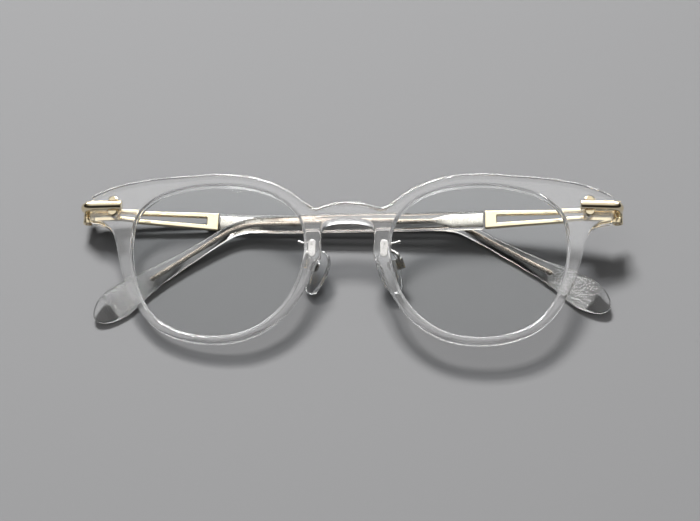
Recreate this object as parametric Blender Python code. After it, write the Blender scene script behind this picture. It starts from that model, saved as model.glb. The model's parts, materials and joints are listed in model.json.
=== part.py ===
"""Reading glasses with a clear acetate front, folded and lying on a table.

The glasses are drawn in the frame of their own front: X to the right as the front is seen,
Y up, Z out of the front face, with the hinge line at Y = 0. The temples are drawn straight
ahead of their hinges and folded by empties, and one empty then lays the whole pair on the
table, with +Z up, on the points that really touch it.
"""
import math

import bmesh
import bpy
from mathutils import Matrix, Vector

MM = 0.001

# Gaps between pieces that touch on the real object
FIT_GAP = 0.3 * MM
# How far a cutter runs past the surface that it cuts
OVERRUN = 1.0 * MM

# Front: the lens openings, the rims and the bridge
LENS_WIDTH = 46.5 * MM
LENS_HEIGHT = 41.8 * MM
NOSE_GAP = 23.0 * MM
# The openings' tops are this far over the hinge line, and their middles follow
LENS_TOP = 5.5 * MM
LENS_DROP = LENS_HEIGHT / 2 - LENS_TOP
RIM_WIDTH = 3.4 * MM
FRONT_THICKNESS = 3.4 * MM
FRONT_EDGE = 0.7 * MM
FACE_RADIUS = 900.0 * MM
BRIDGE_TOP = 0.7 * MM
BRIDGE_BOTTOM = 5.0 * MM
# Places beside the nose, by how far they lie inside the openings' inner edges
NOTCH_INSET = 2.9 * MM
NOTCH_X = NOSE_GAP / 2 - NOTCH_INSET
NOTCH_Y = 0.9 * MM
BROW_BULGE = 1.4 * MM
NOSE_RIM = 4.4 * MM
NOSE_SIDE_X = NOSE_GAP / 2 - NOSE_RIM
# The end pieces reach this far past the openings
END_REACH = 12.7 * MM
END_X = NOSE_GAP / 2 + LENS_WIDTH + END_REACH
END_TOP = 3.2 * MM
END_BOTTOM = 4.7 * MM
END_CORNER = 1.2 * MM
GROOVE_DEPTH = 0.8 * MM
GROOVE_HALF = 0.9 * MM
GROOVE_SLOPE = 0.15 * MM

# The opening of a lens, from the nose over the top, in shares of half its width and height
LENS_SHARES = (
    (-1.0, 0.17), (-0.92, 0.555), (-0.70, 0.805), (-0.40, 0.945),
    (0.0, 1.0), (0.40, 0.962), (0.73, 0.84), (0.945, 0.61),
    (1.0, 0.28), (0.95, -0.17), (0.80, -0.575), (0.56, -0.845),
    (0.13, -1.0), (-0.36, -0.945), (-0.70, -0.69), (-0.90, -0.35),
)
# The rim's width in shares of the top rim's, at the points of the opening that it follows
TOP_RIM_SHARES = {2: 1.0, 3: 1.0, 4: 1.0, 5: 1.12}
LOW_RIM_SHARES = {8: 1.45, 9: 0.98, 10: 0.72, 11: 0.64, 12: 0.58, 13: 0.6, 14: 0.7, 15: 0.82}

# The side of the nose gap, upwards: shares of its half width and of the way down to the low rim
NOSE_SHARES = ((1.0, 0.537), (1.0, 0.254), (0.97, 0.127), (0.82, 0.048), (0.45, 0.009))
NOSE_START_SHARES = (0.3, 0.627)

# Lenses: a meniscus, thicker in the middle
LENS_EDGE = 1.1 * MM
LENS_CROWN = 1.6 * MM
LENS_HOLLOW = 0.5 * MM
LENS_REACH = 0.45 * MM
LENS_RING_SHARES = (0.85, 0.6, 0.3)

# Hinge bar: the gold rod on the face of each end, turned round the end of the front
BAR_RADIUS = 1.2 * MM
BAR_LENGTH = 9.15 * MM
BAR_INNER_X = END_X - BAR_LENGTH
BAR_PROUD = 0.4 * MM
BAR_TURN = 2.3 * MM
BAR_END_ROUND = 0.15 * MM

# Rivets: a round head above and below the bar, with a shank through the acetate
RIVET_INSET = 6.65 * MM
RIVET_X = END_X - RIVET_INSET
RIVET_HEAD_Y = 1.4 * MM
RIVET_HEAD_RADIUS = 1.35 * MM
RIVET_HEAD_PROUD = 0.35 * MM
RIVET_SHANK_Y = 2.25 * MM
RIVET_SHANK_RADIUS = 0.35 * MM

# Hinge: a plate on the back of the end piece, with two knuckles round the screw
HINGE_OUT = 1.6 * MM
HINGE_X = END_X + HINGE_OUT
HINGE_BACK = 1.75 * MM
HINGE_DROP = 0.35 * MM
KNUCKLE_RADIUS = 1.4 * MM
KNUCKLE_HALF = 2.9 * MM
MIDDLE_KNUCKLE_HALF = 1.1 * MM
PLATE_THICKNESS = 0.8 * MM
PLATE_LENGTH = 8.0 * MM
PLATE_INNER_X = END_X - PLATE_LENGTH
PLATE_HALF = 2.9 * MM
HINGE_SCREW_RADIUS = 0.5 * MM
HINGE_HEAD_RADIUS = 1.05 * MM
HINGE_HEAD_HEIGHT = 0.5 * MM
SCREW_SLOT_WIDTH = 0.3 * MM
SCREW_SLOT_DEPTH = 0.25 * MM

# Temples: a gold front section with a long window, then clear acetate over a core wire
TEMPLE_LENGTH = 149.6 * MM
GOLD_END = 35.6 * MM
GOLD_START = 2.4 * MM
GOLD_THICKNESS = 1.4 * MM
GOLD_ROOT_END = 5.5 * MM
GOLD_START_HALF = 1.45 * MM
GOLD_END_HALF = 2.5 * MM
GOLD_EDGE = 0.2 * MM
GOLD_OFFSET = 0.35 * MM
WINDOW_START = 7.4 * MM
WINDOW_END = 32.3 * MM
WINDOW_START_HALF = 0.42 * MM
WINDOW_END_HALF = 1.05 * MM
ARM_THICKNESS = 2.4 * MM
ARM_HALF = 2.6 * MM
# The arm's height: shares of its length and of its half height at the gold section
ARM_HEIGHT_SHARES = (
    (0.0, 1.0), (0.40, 0.97), (0.60, 0.93), (0.655, 0.84), (0.69, 0.69), (0.75, 0.69), (0.80, 0.79),
    (0.85, 0.98), (0.885, 1.24), (0.92, 1.56), (0.945, 1.7), (1.0, 1.7),
)
ARM_ROUND_SHARE = 0.6
TIP_ROUND_LENGTH = 9.0 * MM
TIP_RING_SHARES = (0.35, 0.65, 0.85, 0.97)
TIP_THIN_SHARE = 0.55
PADDLE_SAG = 0.6 * MM
BLADE_HALF = 1.75 * MM
BLADE_END = 44.5 * MM
CORE_START = 51.0 * MM
CORE_HALF = 0.65 * MM
CORE_THICKNESS = 0.7 * MM
CORE_ROUND_SHARE = 0.5
CORE_TO_TIP = 18.5 * MM
CORE_END = TEMPLE_LENGTH - CORE_TO_TIP

# The line of a temple: the bends near the ear are measured from the tip, as an optician does,
# and the bend behind each ear was made by hand, so the two differ
EAR_DROPS = {"left": math.radians(31.0), "right": math.radians(34.0)}
EAR_TO_TIPS = {"left": 56.6 * MM, "right": 54.1 * MM}
EAR_BEND_LENGTH = 14.5 * MM
TIP_DROP = math.radians(12.0)
TIP_DROP_LENGTH = 14.0 * MM
SHOULDER_TURN = math.radians(6.7)
SHOULDER_LENGTH = 14.0 * MM
SHOULDER_RISES = {"left": math.radians(2.0), "right": math.radians(-0.9)}
EAR_HUG = math.radians(12.0)
HUG_TO_TIP = 52.0 * MM
HUG_LENGTH = 44.0 * MM

# How far each folded temple still stands off the front, and how it is tilted in its hinge
SPLAYS = {"left": math.radians(8.8), "right": math.radians(5.5)}
TILTS = {"left": math.radians(0.7), "right": math.radians(0.7)}

# Nose pads, their arms and screws, for the right side
FOOT_INSET = 1.9 * MM
FOOT_X = NOSE_GAP / 2 - FOOT_INSET
FOOT_Y = 11.8 * MM
FOOT_HALF_WIDTH = 1.05 * MM
FOOT_HALF_HEIGHT = 2.45 * MM
FOOT_THICKNESS = 0.7 * MM
ARM_WIRE_RADIUS = 0.45 * MM
PIN_REACH = 3.9 * MM
PIN_RISE = 3.0 * MM
PIN_BACK = 2.6 * MM
PIN_RADIUS = 0.3 * MM
PIN_BALL_RADIUS = 0.5 * MM
BOX_X = NOSE_GAP / 2
BOX_Y = 15.4 * MM
BOX_BACK = 6.3 * MM
BOX_HALF_WIDTH = 1.5 * MM
BOX_HALF_HEIGHT = 1.5 * MM
BOX_FLOOR = 1.25 * MM
BOX_TOP = 0.9 * MM
BOX_WALL = 0.5 * MM
# Both pads are bent this far to the right
PAD_LEAN = 1.3 * MM
PAD_HALF_LENGTH = 6.1 * MM
PAD_HALF_WIDTH = 3.7 * MM
PAD_THICKNESS = 1.7 * MM
PAD_DISH = 0.45 * MM
PAD_ROUND = 0.5 * MM
PAD_STAND = 2.3 * MM
PAD_SHIFT = 1.5 * MM
LUG_THICKNESS = 0.9 * MM
LUG_HALF_WIDTH = 1.0 * MM
LUG_DEPTH = 0.9 * MM
MOUNT_RADIUS = 1.5 * MM
MOUNT_THICKNESS = 0.5 * MM
PAD_SCREW_RADIUS = 0.25 * MM
PAD_SCREW_HEAD = 0.55 * MM
PAD_SCREW_HEAD_HEIGHT = 0.4 * MM
PAD_TURN = math.radians(42.0)
PAD_SPLAY = math.radians(25.0)
# The outline of a pad, as shares of its half width and half length, round from its top
PAD_SHARES = (
    (0.0, 1.0), (0.56, 0.88), (0.93, 0.56), (1.0, 0.2), (0.87, -0.25),
    (0.64, -0.65), (0.34, -0.93), (0.0, -1.0), (-0.34, -0.93), (-0.64, -0.65),
    (-0.87, -0.25), (-1.0, 0.2), (-0.93, 0.56), (-0.56, 0.88),
)

# Densities in kilograms per cubic metre, for the balance on the table
DENSITY = {"clear_acetate": 1280.0, "lens": 1310.0, "gold": 8400.0, "silver": 7900.0, "pad_silicone": 1150.0}

SIDES = {"left": -1.0, "right": 1.0}


def clear_scene():
    for item in list(bpy.data.objects):
        bpy.data.objects.remove(item, do_unlink=True)


# Materials

def make_material(name, colour, roughness, metallic=0.0, transmission=0.0):
    material = bpy.data.materials.new(name)
    material.use_nodes = True
    shader = material.node_tree.nodes["Principled BSDF"]
    shader.inputs["Base Color"].default_value = (*colour, 1.0)
    shader.inputs["Roughness"].default_value = roughness
    shader.inputs["Metallic"].default_value = metallic
    shader.inputs["Transmission Weight"].default_value = transmission
    material["density"] = DENSITY[name]
    return material


def make_materials():
    return {
        "clear_acetate": make_material("clear_acetate", (0.93, 0.94, 0.95), 0.04, transmission=1.0),
        "lens": make_material("lens", (0.97, 0.98, 0.98), 0.02, transmission=1.0),
        "gold": make_material("gold", (0.86, 0.76, 0.55), 0.22, metallic=1.0),
        "silver": make_material("silver", (0.78, 0.77, 0.74), 0.25, metallic=1.0),
        "pad_silicone": make_material("pad_silicone", (0.92, 0.93, 0.93), 0.12, transmission=0.9),
    }


# Curves and outlines

def smooth_loop(points, steps):
    """A closed curve through the points, with the same number of steps between each two."""
    count = len(points)
    loop = []
    for index in range(count):
        before, start, end, after = (Vector(points[(index + step) % count]) for step in (-1, 0, 1, 2))
        lengths = [math.sqrt((b - a).length) for a, b in ((before, start), (start, end), (end, after))]
        leave = tangent(before, start, end, lengths[0], lengths[1]) * lengths[1]
        arrive = tangent(start, end, after, lengths[1], lengths[2]) * lengths[1]
        for step in range(steps):
            t = step / steps
            loop.append((2 * t ** 3 - 3 * t ** 2 + 1) * start + (t ** 3 - 2 * t ** 2 + t) * leave
                        + (3 * t ** 2 - 2 * t ** 3) * end + (t ** 3 - t ** 2) * arrive)
    return loop


def tangent(before, here, after, step_in, step_out):
    return ((here - before) / step_in - (after - before) / (step_in + step_out)
            + (after - here) / step_out)


def loop_normals(loop):
    """Unit normals of a closed loop that runs anticlockwise, pointing into it."""
    count = len(loop)
    normals = []
    for index in range(count):
        along = (loop[(index + 1) % count] - loop[index - 1]).normalized()
        normals.append(Vector((-along.y, along.x)))
    return normals


def offset_loop(loop, distance):
    return [point + normal * distance for point, normal in zip(loop, loop_normals(loop))]


def lens_centre():
    return Vector(((NOSE_GAP + LENS_WIDTH) / 2, -LENS_DROP))


def lens_controls():
    centre = lens_centre()
    half = Vector((LENS_WIDTH / 2, LENS_HEIGHT / 2))
    return [Vector((centre.x + share_x * half.x, centre.y + share_y * half.y))
            for share_x, share_y in LENS_SHARES]


def lens_loop(steps):
    """The right opening, anticlockwise."""
    return smooth_loop(lens_controls()[::-1], steps)


def rim_point(index, share):
    """A point of the rim's outer edge, square to the opening at one of its points."""
    controls = lens_controls()
    along = (controls[(index + 1) % len(controls)] - controls[index - 1]).normalized()
    return controls[index] + Vector((-along.y, along.x)) * RIM_WIDTH * share


def right_outline():
    """The outer edge of the right half, from the top of the bridge to its underside."""
    top_rim = [rim_point(index, share) for index, share in TOP_RIM_SHARES.items()]
    low_rim = [rim_point(index, share) for index, share in LOW_RIM_SHARES.items()]
    bridge = [
        Vector((NOTCH_X / 2, BRIDGE_TOP * 0.45)),
        Vector((NOTCH_X * 0.78, -NOTCH_Y * 0.5)),
        Vector((NOTCH_X, -NOTCH_Y)),
        Vector((NOTCH_X * 1.2, -NOTCH_Y * 0.45)),
    ]
    end_piece = [
        top_rim[-1].lerp(Vector((END_X, END_TOP)), 0.35) + Vector((0, BROW_BULGE * 0.85)),
        top_rim[-1].lerp(Vector((END_X, END_TOP)), 0.7) + Vector((0, BROW_BULGE)),
        Vector((END_X - END_CORNER, END_TOP + END_CORNER * 0.35)),
        Vector((END_X - END_CORNER * 0.25, END_TOP - END_CORNER * 0.3)),
        Vector((END_X, END_TOP - END_CORNER)),
        Vector((END_X - END_CORNER * 0.35, -END_BOTTOM + END_CORNER)),
        Vector((END_X - END_CORNER * 0.75, -END_BOTTOM + END_CORNER * 0.25)),
        Vector((END_X - END_CORNER * 1.6, -END_BOTTOM)),
        Vector((END_X - END_CORNER * 3.6, -END_BOTTOM - END_CORNER * 0.45)),
        Vector((low_rim[0].x + END_CORNER * 0.9, (low_rim[0].y - END_BOTTOM) / 2)),
    ]
    side_share, height_share = NOSE_START_SHARES
    fall = low_rim[-1].y + BRIDGE_BOTTOM
    nose = [Vector((NOSE_SIDE_X + (low_rim[-1].x - NOSE_SIDE_X) * side_share,
                    fall * height_share - BRIDGE_BOTTOM))]
    nose += [Vector((NOSE_SIDE_X * across, fall * down - BRIDGE_BOTTOM)) for across, down in NOSE_SHARES]
    return bridge + top_rim + end_piece + low_rim + nose


def front_outline(steps):
    """The whole outer edge of the front, anticlockwise."""
    right = right_outline()
    left = [Vector((-point.x, point.y)) for point in right]
    top = Vector((0.0, BRIDGE_TOP))
    bottom = Vector((0.0, -BRIDGE_BOTTOM))
    return smooth_loop([top] + left + [bottom] + right[::-1], steps)


# Mesh building

def mesh_object(name, mesh_data, material, parent=None, smooth=True):
    mesh = bpy.data.meshes.new(name)
    bmesh.ops.recalc_face_normals(mesh_data, faces=mesh_data.faces)
    mesh_data.to_mesh(mesh)
    mesh_data.free()
    mesh.materials.append(material)
    if smooth:
        mesh.shade_smooth()
        mesh.set_sharp_from_angle(angle=math.radians(35))
    item = bpy.data.objects.new(name, mesh)
    bpy.context.scene.collection.objects.link(item)
    if parent is not None:
        item.parent = parent
    return item


def make_cutter(name, mesh_data, parent=None):
    cutter = mesh_object(name, mesh_data, bpy.data.materials["gold"], parent, smooth=False)
    cutter.hide_render = True
    cutter.display_type = "WIRE"
    return cutter


def add_boolean(item, operand, operation="DIFFERENCE"):
    modifier = item.modifiers.new(operand.name, "BOOLEAN")
    modifier.operation = operation
    modifier.solver = "EXACT"
    modifier.object = operand


def add_rings(mesh_data, rings):
    """Join rings of equal count into a skin, and return the first and last ring's vertices."""
    made = [[mesh_data.verts.new(point) for point in ring] for ring in rings]
    for lower, upper in zip(made[:-1], made[1:]):
        count = len(lower)
        for index in range(count):
            after = (index + 1) % count
            mesh_data.faces.new((lower[index], lower[after], upper[after], upper[index]))
    return made[0], made[-1]


def solid_from_rings(rings):
    mesh_data = bmesh.new()
    first, last = add_rings(mesh_data, rings)
    mesh_data.faces.new(first[::-1])
    mesh_data.faces.new(last)
    return mesh_data


def ring_edges(mesh_data, ring):
    return [mesh_data.edges.get((ring[index - 1], ring[index])) for index in range(len(ring))]


def plate_with_holes(outer, holes, outer_profile, hole_profile):
    """A plate between outlines: each profile lists (distance into the plate, height) pairs."""
    mesh_data = bmesh.new()
    starts = []
    ends = []
    for loop, sign, profile in [(outer, 1.0, outer_profile)] + [(hole, -1.0, hole_profile) for hole in holes]:
        rings = [[Vector((point.x, point.y, height)) for point in offset_loop(loop, sign * inset)]
                 for inset, height in profile]
        first, last = add_rings(mesh_data, rings)
        starts += ring_edges(mesh_data, first)
        ends += ring_edges(mesh_data, last)
    for edges in (starts, ends):
        bmesh.ops.triangle_fill(mesh_data, use_beauty=True, use_dissolve=False, edges=edges)
    return mesh_data


def rounded_profile(edge, thickness, middle=()):
    """The edge of a plate from its front face at 0 down to its back face."""
    share = 1 - math.sin(math.radians(45))
    front = [(edge, 0.0), (edge * share, -edge * share), (0.0, -edge)]
    back = [(inset, -thickness - height) for inset, height in front[::-1]]
    return front + list(middle) + back


def cylinder(radius, start, end, sides=20, end_radius=None):
    """A closed cylinder or cone between two points."""
    mesh_data = bmesh.new()
    axis = end - start
    bmesh.ops.create_cone(mesh_data, cap_ends=True, segments=sides, radius1=radius,
                          radius2=radius if end_radius is None else end_radius, depth=axis.length)
    turn = axis.to_track_quat("Z", "Y").to_matrix().to_4x4()
    bmesh.ops.transform(mesh_data, verts=mesh_data.verts, matrix=Matrix.Translation((start + end) / 2) @ turn)
    return mesh_data


def block(low, high):
    mesh_data = bmesh.new()
    bmesh.ops.create_cube(mesh_data, size=1.0)
    size = high - low
    matrix = Matrix.Translation((low + high) / 2) @ Matrix.Diagonal((*size, 1.0))
    bmesh.ops.transform(mesh_data, verts=mesh_data.verts, matrix=matrix)
    return mesh_data


def tube(points, radius, sides=12, end_round=0.0):
    """A round rod along the points, with its end edges taken off."""
    frames = []
    up = Vector((0, 1, 0))
    for index, point in enumerate(points):
        before = points[max(index - 1, 0)]
        after = points[min(index + 1, len(points) - 1)]
        along = (after - before).normalized()
        side = along.cross(up).normalized() if abs(along.dot(up)) < 0.99 else Vector((1, 0, 0))
        up = side.cross(along).normalized()
        frames.append((point, along, side, up))

    def ring(frame, ring_radius, shift=0.0):
        point, along, side, upward = frame
        return [point + along * shift + (side * math.cos(angle) + upward * math.sin(angle)) * ring_radius
                for angle in (2 * math.pi * step / sides for step in range(sides))]

    rings = [ring(frame, radius) for frame in frames]
    if end_round > 0:
        rings = ([ring(frames[0], radius - end_round), ring(frames[0], radius, end_round)] + rings[1:-1]
                 + [ring(frames[-1], radius, -end_round), ring(frames[-1], radius - end_round)])
    return solid_from_rings(rings)


def moved(mesh_data, matrix):
    """The mesh under a matrix, which may mirror it: the normals are set again afterwards."""
    bmesh.ops.transform(mesh_data, verts=mesh_data.verts, matrix=matrix)
    return mesh_data


def side_matrix(sign):
    return Matrix.Diagonal((sign, 1.0, 1.0, 1.0))


def wrap_depth(x):
    """How far the front's face lies behind its middle at a distance x from it."""
    return x * x / (2 * FACE_RADIUS)


def end_frame():
    """The frame of the right end piece: its origin is on the face over the hinge line."""
    x = (BAR_INNER_X + END_X) / 2
    turn = Matrix.Rotation(x / FACE_RADIUS, 4, "Y")
    return Matrix.Translation((x, 0.0, -wrap_depth(x))) @ turn @ Matrix.Translation((-x, 0.0, 0.0))


# Front

def make_front(parts, materials):
    steps = 4
    opening = lens_loop(steps)
    mirrored = [Vector((-point.x, point.y)) for point in opening[::-1]]
    middle = FRONT_THICKNESS / 2
    groove = (
        (0.0, -middle + GROOVE_HALF), (GROOVE_DEPTH, -middle + GROOVE_HALF - GROOVE_SLOPE),
        (GROOVE_DEPTH, -middle - GROOVE_HALF + GROOVE_SLOPE), (0.0, -middle - GROOVE_HALF),
    )
    edge = min(FRONT_EDGE, (middle - GROOVE_HALF) * 0.9)
    mesh_data = plate_with_holes(
        front_outline(3), (opening, mirrored),
        rounded_profile(FRONT_EDGE, FRONT_THICKNESS),
        rounded_profile(edge, FRONT_THICKNESS, groove))
    for vertex in mesh_data.verts:
        vertex.co.z -= wrap_depth(vertex.co.x)
    front = mesh_object("front_frame", mesh_data, materials["clear_acetate"], parts)
    for side, sign in SIDES.items():
        matrix = side_matrix(sign) @ end_frame()
        cuts = [moved(tube(bar_path(), BAR_RADIUS + FIT_GAP, 16), matrix)]
        for level in (1.0, -1.0):
            cuts.append(moved(rivet_head(level, FIT_GAP), matrix))
            cuts.append(moved(rivet_shank(level, FIT_GAP), matrix))
        for index, cut in enumerate(cuts):
            cutter = make_cutter(f"{side}_end_cut_{index}", cut, parts)
            add_boolean(front, cutter)
    return front


def make_lens(side, sign, parts, materials):
    """A meniscus that sits in the groove, with its edge square."""
    outline = offset_loop(lens_loop(3), -LENS_REACH)
    centre = lens_centre()
    middle = -FRONT_THICKNESS / 2

    def ring(share, crown, level):
        lift = crown * (1 - share ** 2)
        return [Vector((centre.x + (point.x - centre.x) * share, centre.y + (point.y - centre.y) * share,
                        level + lift)) for point in outline]

    front = middle + LENS_EDGE / 2
    back = middle - LENS_EDGE / 2
    shares = (1.0,) + LENS_RING_SHARES
    rings = [ring(share, LENS_CROWN, front) for share in shares[::-1]]
    rings += [ring(share, LENS_HOLLOW, back) for share in shares]
    mesh_data = bmesh.new()
    first, last = add_rings(mesh_data, rings)
    for vertices, crown, level in ((first, LENS_CROWN, front), (last, LENS_HOLLOW, back)):
        pole = mesh_data.verts.new(Vector((centre.x, centre.y, level + crown)))
        for index in range(len(vertices)):
            mesh_data.faces.new((vertices[index - 1], vertices[index], pole))
    for vertex in mesh_data.verts:
        vertex.co.z -= wrap_depth(vertex.co.x)
    return mesh_object(f"{side}_lens", moved(mesh_data, side_matrix(sign)), materials["lens"], parts)


# End pieces and hinges, drawn for the right end in its frame

def bar_path():
    """Along the face, then round the end of the front to the hinge."""
    height = BAR_PROUD
    corner_x = END_X + FIT_GAP + BAR_RADIUS
    path = [Vector((BAR_INNER_X, 0.0, height)), Vector((RIVET_X, 0.0, height))]
    for step in range(6):
        angle = math.radians(90 * step / 5)
        path.append(Vector((corner_x - BAR_TURN + BAR_TURN * math.sin(angle), 0.0,
                            height - BAR_TURN + BAR_TURN * math.cos(angle))))
    path.append(Vector((corner_x, 0.0, hinge_height() + KNUCKLE_RADIUS + FIT_GAP)))
    return path


def hinge_height():
    """The height of the hinge axis in the frame of the end piece."""
    return -FRONT_THICKNESS - HINGE_BACK


def hinge_frame():
    """The frame of the right hinge plate: that of the end piece, lowered to the hinge's middle."""
    return end_frame() @ Matrix.Translation((0.0, -HINGE_DROP, 0.0))


def hinge_place():
    """The middle of the right hinge's axis, in the frame of the front."""
    return hinge_frame() @ Vector((HINGE_X, 0.0, hinge_height()))


def rivet_head(level, growth):
    """The head of the rivet above (1) or below (-1) the bar, or grown by a gap, its seat."""
    top = RIVET_HEAD_PROUD + (OVERRUN if growth > 0 else 0.0)
    return cylinder(RIVET_HEAD_RADIUS + growth, Vector((RIVET_X, level * RIVET_HEAD_Y, -RIVET_HEAD_PROUD - growth)),
                    Vector((RIVET_X, level * RIVET_HEAD_Y, top)), 20)


def rivet_shank(level, growth):
    foot = -FRONT_THICKNESS - (OVERRUN if growth > 0 else 0.0)
    return cylinder(RIVET_SHANK_RADIUS + growth, Vector((RIVET_X, level * RIVET_SHANK_Y, foot)),
                    Vector((RIVET_X, level * RIVET_SHANK_Y, 0.0)), 10)


def make_rivet(side, sign, level, word, parts, materials):
    matrix = side_matrix(sign) @ end_frame()
    rivet = mesh_object(f"{side}_{word}_rivet", moved(rivet_head(level, 0.0), matrix), materials["gold"], parts)
    shank = moved(rivet_shank(level, 0.0), matrix)
    add_boolean(rivet, make_cutter(f"{side}_{word}_shank", shank, parts), "UNION")
    clearance = tube(bar_path(), BAR_RADIUS + FIT_GAP, 16)
    add_boolean(rivet, make_cutter(f"{side}_{word}_clearance", moved(clearance, matrix), parts))
    return rivet


def make_hinge_bar(side, sign, parts, materials):
    rod = tube(bar_path(), BAR_RADIUS, 16, BAR_END_ROUND)
    return mesh_object(f"{side}_hinge_bar", moved(rod, side_matrix(sign) @ end_frame()), materials["gold"], parts)


def make_hinge_plate(side, sign, parts, materials):
    """The plate behind the acetate, with an upper and a lower knuckle."""
    matrix = side_matrix(sign) @ hinge_frame()
    level = hinge_height()
    floor = -FRONT_THICKNESS - FIT_GAP
    plate = block(Vector((PLATE_INNER_X, -PLATE_HALF, floor - PLATE_THICKNESS)),
                  Vector((HINGE_X - KNUCKLE_RADIUS / 2, PLATE_HALF, floor)))
    item = mesh_object(f"{side}_hinge_plate", moved(plate, matrix), materials["gold"], parts)
    barrel = cylinder(KNUCKLE_RADIUS, Vector((HINGE_X, -KNUCKLE_HALF, level)),
                      Vector((HINGE_X, KNUCKLE_HALF, level)), 20)
    add_boolean(item, make_cutter(f"{side}_barrel", moved(barrel, matrix), parts), "UNION")
    slot_half = MIDDLE_KNUCKLE_HALF + FIT_GAP
    slot = block(Vector((HINGE_X - KNUCKLE_RADIUS - FIT_GAP, -slot_half, level - KNUCKLE_RADIUS - OVERRUN)),
                 Vector((HINGE_X + KNUCKLE_RADIUS + OVERRUN, slot_half, level + KNUCKLE_RADIUS + OVERRUN)))
    bore = cylinder(HINGE_SCREW_RADIUS + FIT_GAP, Vector((HINGE_X, -KNUCKLE_HALF - OVERRUN, level)),
                    Vector((HINGE_X, KNUCKLE_HALF + OVERRUN, level)), 12)
    add_boolean(item, make_cutter(f"{side}_knuckle_slot", moved(slot, matrix), parts))
    add_boolean(item, make_cutter(f"{side}_knuckle_bore", moved(bore, matrix), parts))
    return item


def make_hinge_screw(side, sign, parts, materials):
    """A slotted screw down through the knuckles."""
    matrix = side_matrix(sign) @ hinge_frame()
    level = hinge_height()
    head_floor = KNUCKLE_HALF + FIT_GAP
    head_top = head_floor + HINGE_HEAD_HEIGHT
    head = cylinder(HINGE_HEAD_RADIUS, Vector((HINGE_X, head_floor, level)),
                    Vector((HINGE_X, head_top, level)), 16)
    item = mesh_object(f"{side}_hinge_screw", moved(head, matrix), materials["gold"], parts)
    shank = cylinder(HINGE_SCREW_RADIUS, Vector((HINGE_X, -KNUCKLE_HALF, level)),
                     Vector((HINGE_X, head_floor + HINGE_HEAD_HEIGHT / 2, level)), 12)
    slot = block(Vector((HINGE_X - HINGE_HEAD_RADIUS - OVERRUN, head_top - SCREW_SLOT_DEPTH,
                         level - SCREW_SLOT_WIDTH / 2)),
                 Vector((HINGE_X + HINGE_HEAD_RADIUS + OVERRUN, head_top + OVERRUN,
                         level + SCREW_SLOT_WIDTH / 2)))
    add_boolean(item, make_cutter(f"{side}_hinge_shank", moved(shank, matrix), parts), "UNION")
    add_boolean(item, make_cutter(f"{side}_screw_slot", moved(slot, matrix), parts))
    return item


# Temples, drawn for the left side: X along the temple from the hinge axis, Z towards the front

def ramp(value, start, end):
    share = min(max((value - start) / (end - start), 0.0), 1.0)
    return share * share * (3 - 2 * share)


def temple_directions(side, distance):
    """The directions along and up the temple, once it has turned in and dropped."""
    start = TEMPLE_LENGTH - EAR_TO_TIPS[side]
    drop = (EAR_DROPS[side] * ramp(distance, start, start + EAR_BEND_LENGTH)
            + TIP_DROP * ramp(distance, TEMPLE_LENGTH - TIP_DROP_LENGTH, TEMPLE_LENGTH)
            - SHOULDER_RISES[side] * ramp(distance, GOLD_END, GOLD_END + SHOULDER_LENGTH))
    hug_start = TEMPLE_LENGTH - HUG_TO_TIP
    turn = (SHOULDER_TURN * ramp(distance, GOLD_END, GOLD_END + SHOULDER_LENGTH)
            + EAR_HUG * ramp(distance, hug_start, hug_start + HUG_LENGTH))
    ahead = Vector((math.cos(turn), 0.0, math.sin(turn)))
    upright = Vector((0.0, 1.0, 0.0))
    return ahead * math.cos(drop) - upright * math.sin(drop), ahead * math.sin(drop) + upright * math.cos(drop)


def temple_frames(side, distances):
    """The point, direction, height and inward directions of the temple's line at distances."""
    frames = []
    point = Vector((0.0, 0.0, -GOLD_OFFSET))
    here = 0.0
    for target in distances:
        pieces = max(1, math.ceil((target - here) / (TEMPLE_LENGTH / 290)))
        step = (target - here) / pieces
        for _ in range(pieces):
            point = point + step * temple_directions(side, here + step / 2)[0]
            here += step
        along, height = temple_directions(side, here)
        frames.append((point.copy(), along, height, along.cross(height)))
    return frames


def arm_half_height(distance):
    share = distance / TEMPLE_LENGTH
    for (start, low), (end, high) in zip(ARM_HEIGHT_SHARES[:-1], ARM_HEIGHT_SHARES[1:]):
        if share <= end:
            return ARM_HALF * (low + (high - low) * ramp(share, start, end))
    return ARM_HALF * ARM_HEIGHT_SHARES[-1][1]


def core_half_height(distance):
    """A wide blade at the root, which narrows to the wire."""
    return BLADE_HALF + (CORE_HALF - BLADE_HALF) * ramp(distance, BLADE_END, CORE_START)


def core_places(start, end):
    """Distances along the core, close together where it narrows."""
    return [start, BLADE_END] + even_steps(BLADE_END, CORE_START, 5)[1:] + even_steps(CORE_START, end, 20)[1:]


def section(frame, half_height, half_thickness, round_share, corner_steps=2):
    """A rectangle with round corners, square to the temple's line."""
    point, _, height, inward = frame
    radius = half_thickness * round_share
    ring = []
    for quarter, (up, out) in enumerate(((1, 1), (-1, 1), (-1, -1), (1, -1))):
        for step in range(corner_steps + 1):
            angle = math.radians(90 * (quarter + step / corner_steps))
            ring.append(point + height * (up * (half_height - radius) + radius * math.cos(angle))
                        + inward * (out * (half_thickness - radius) + radius * math.sin(angle)))
    return ring


def even_steps(start, end, count):
    return [start + (end - start) * step / count for step in range(count + 1)]


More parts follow.
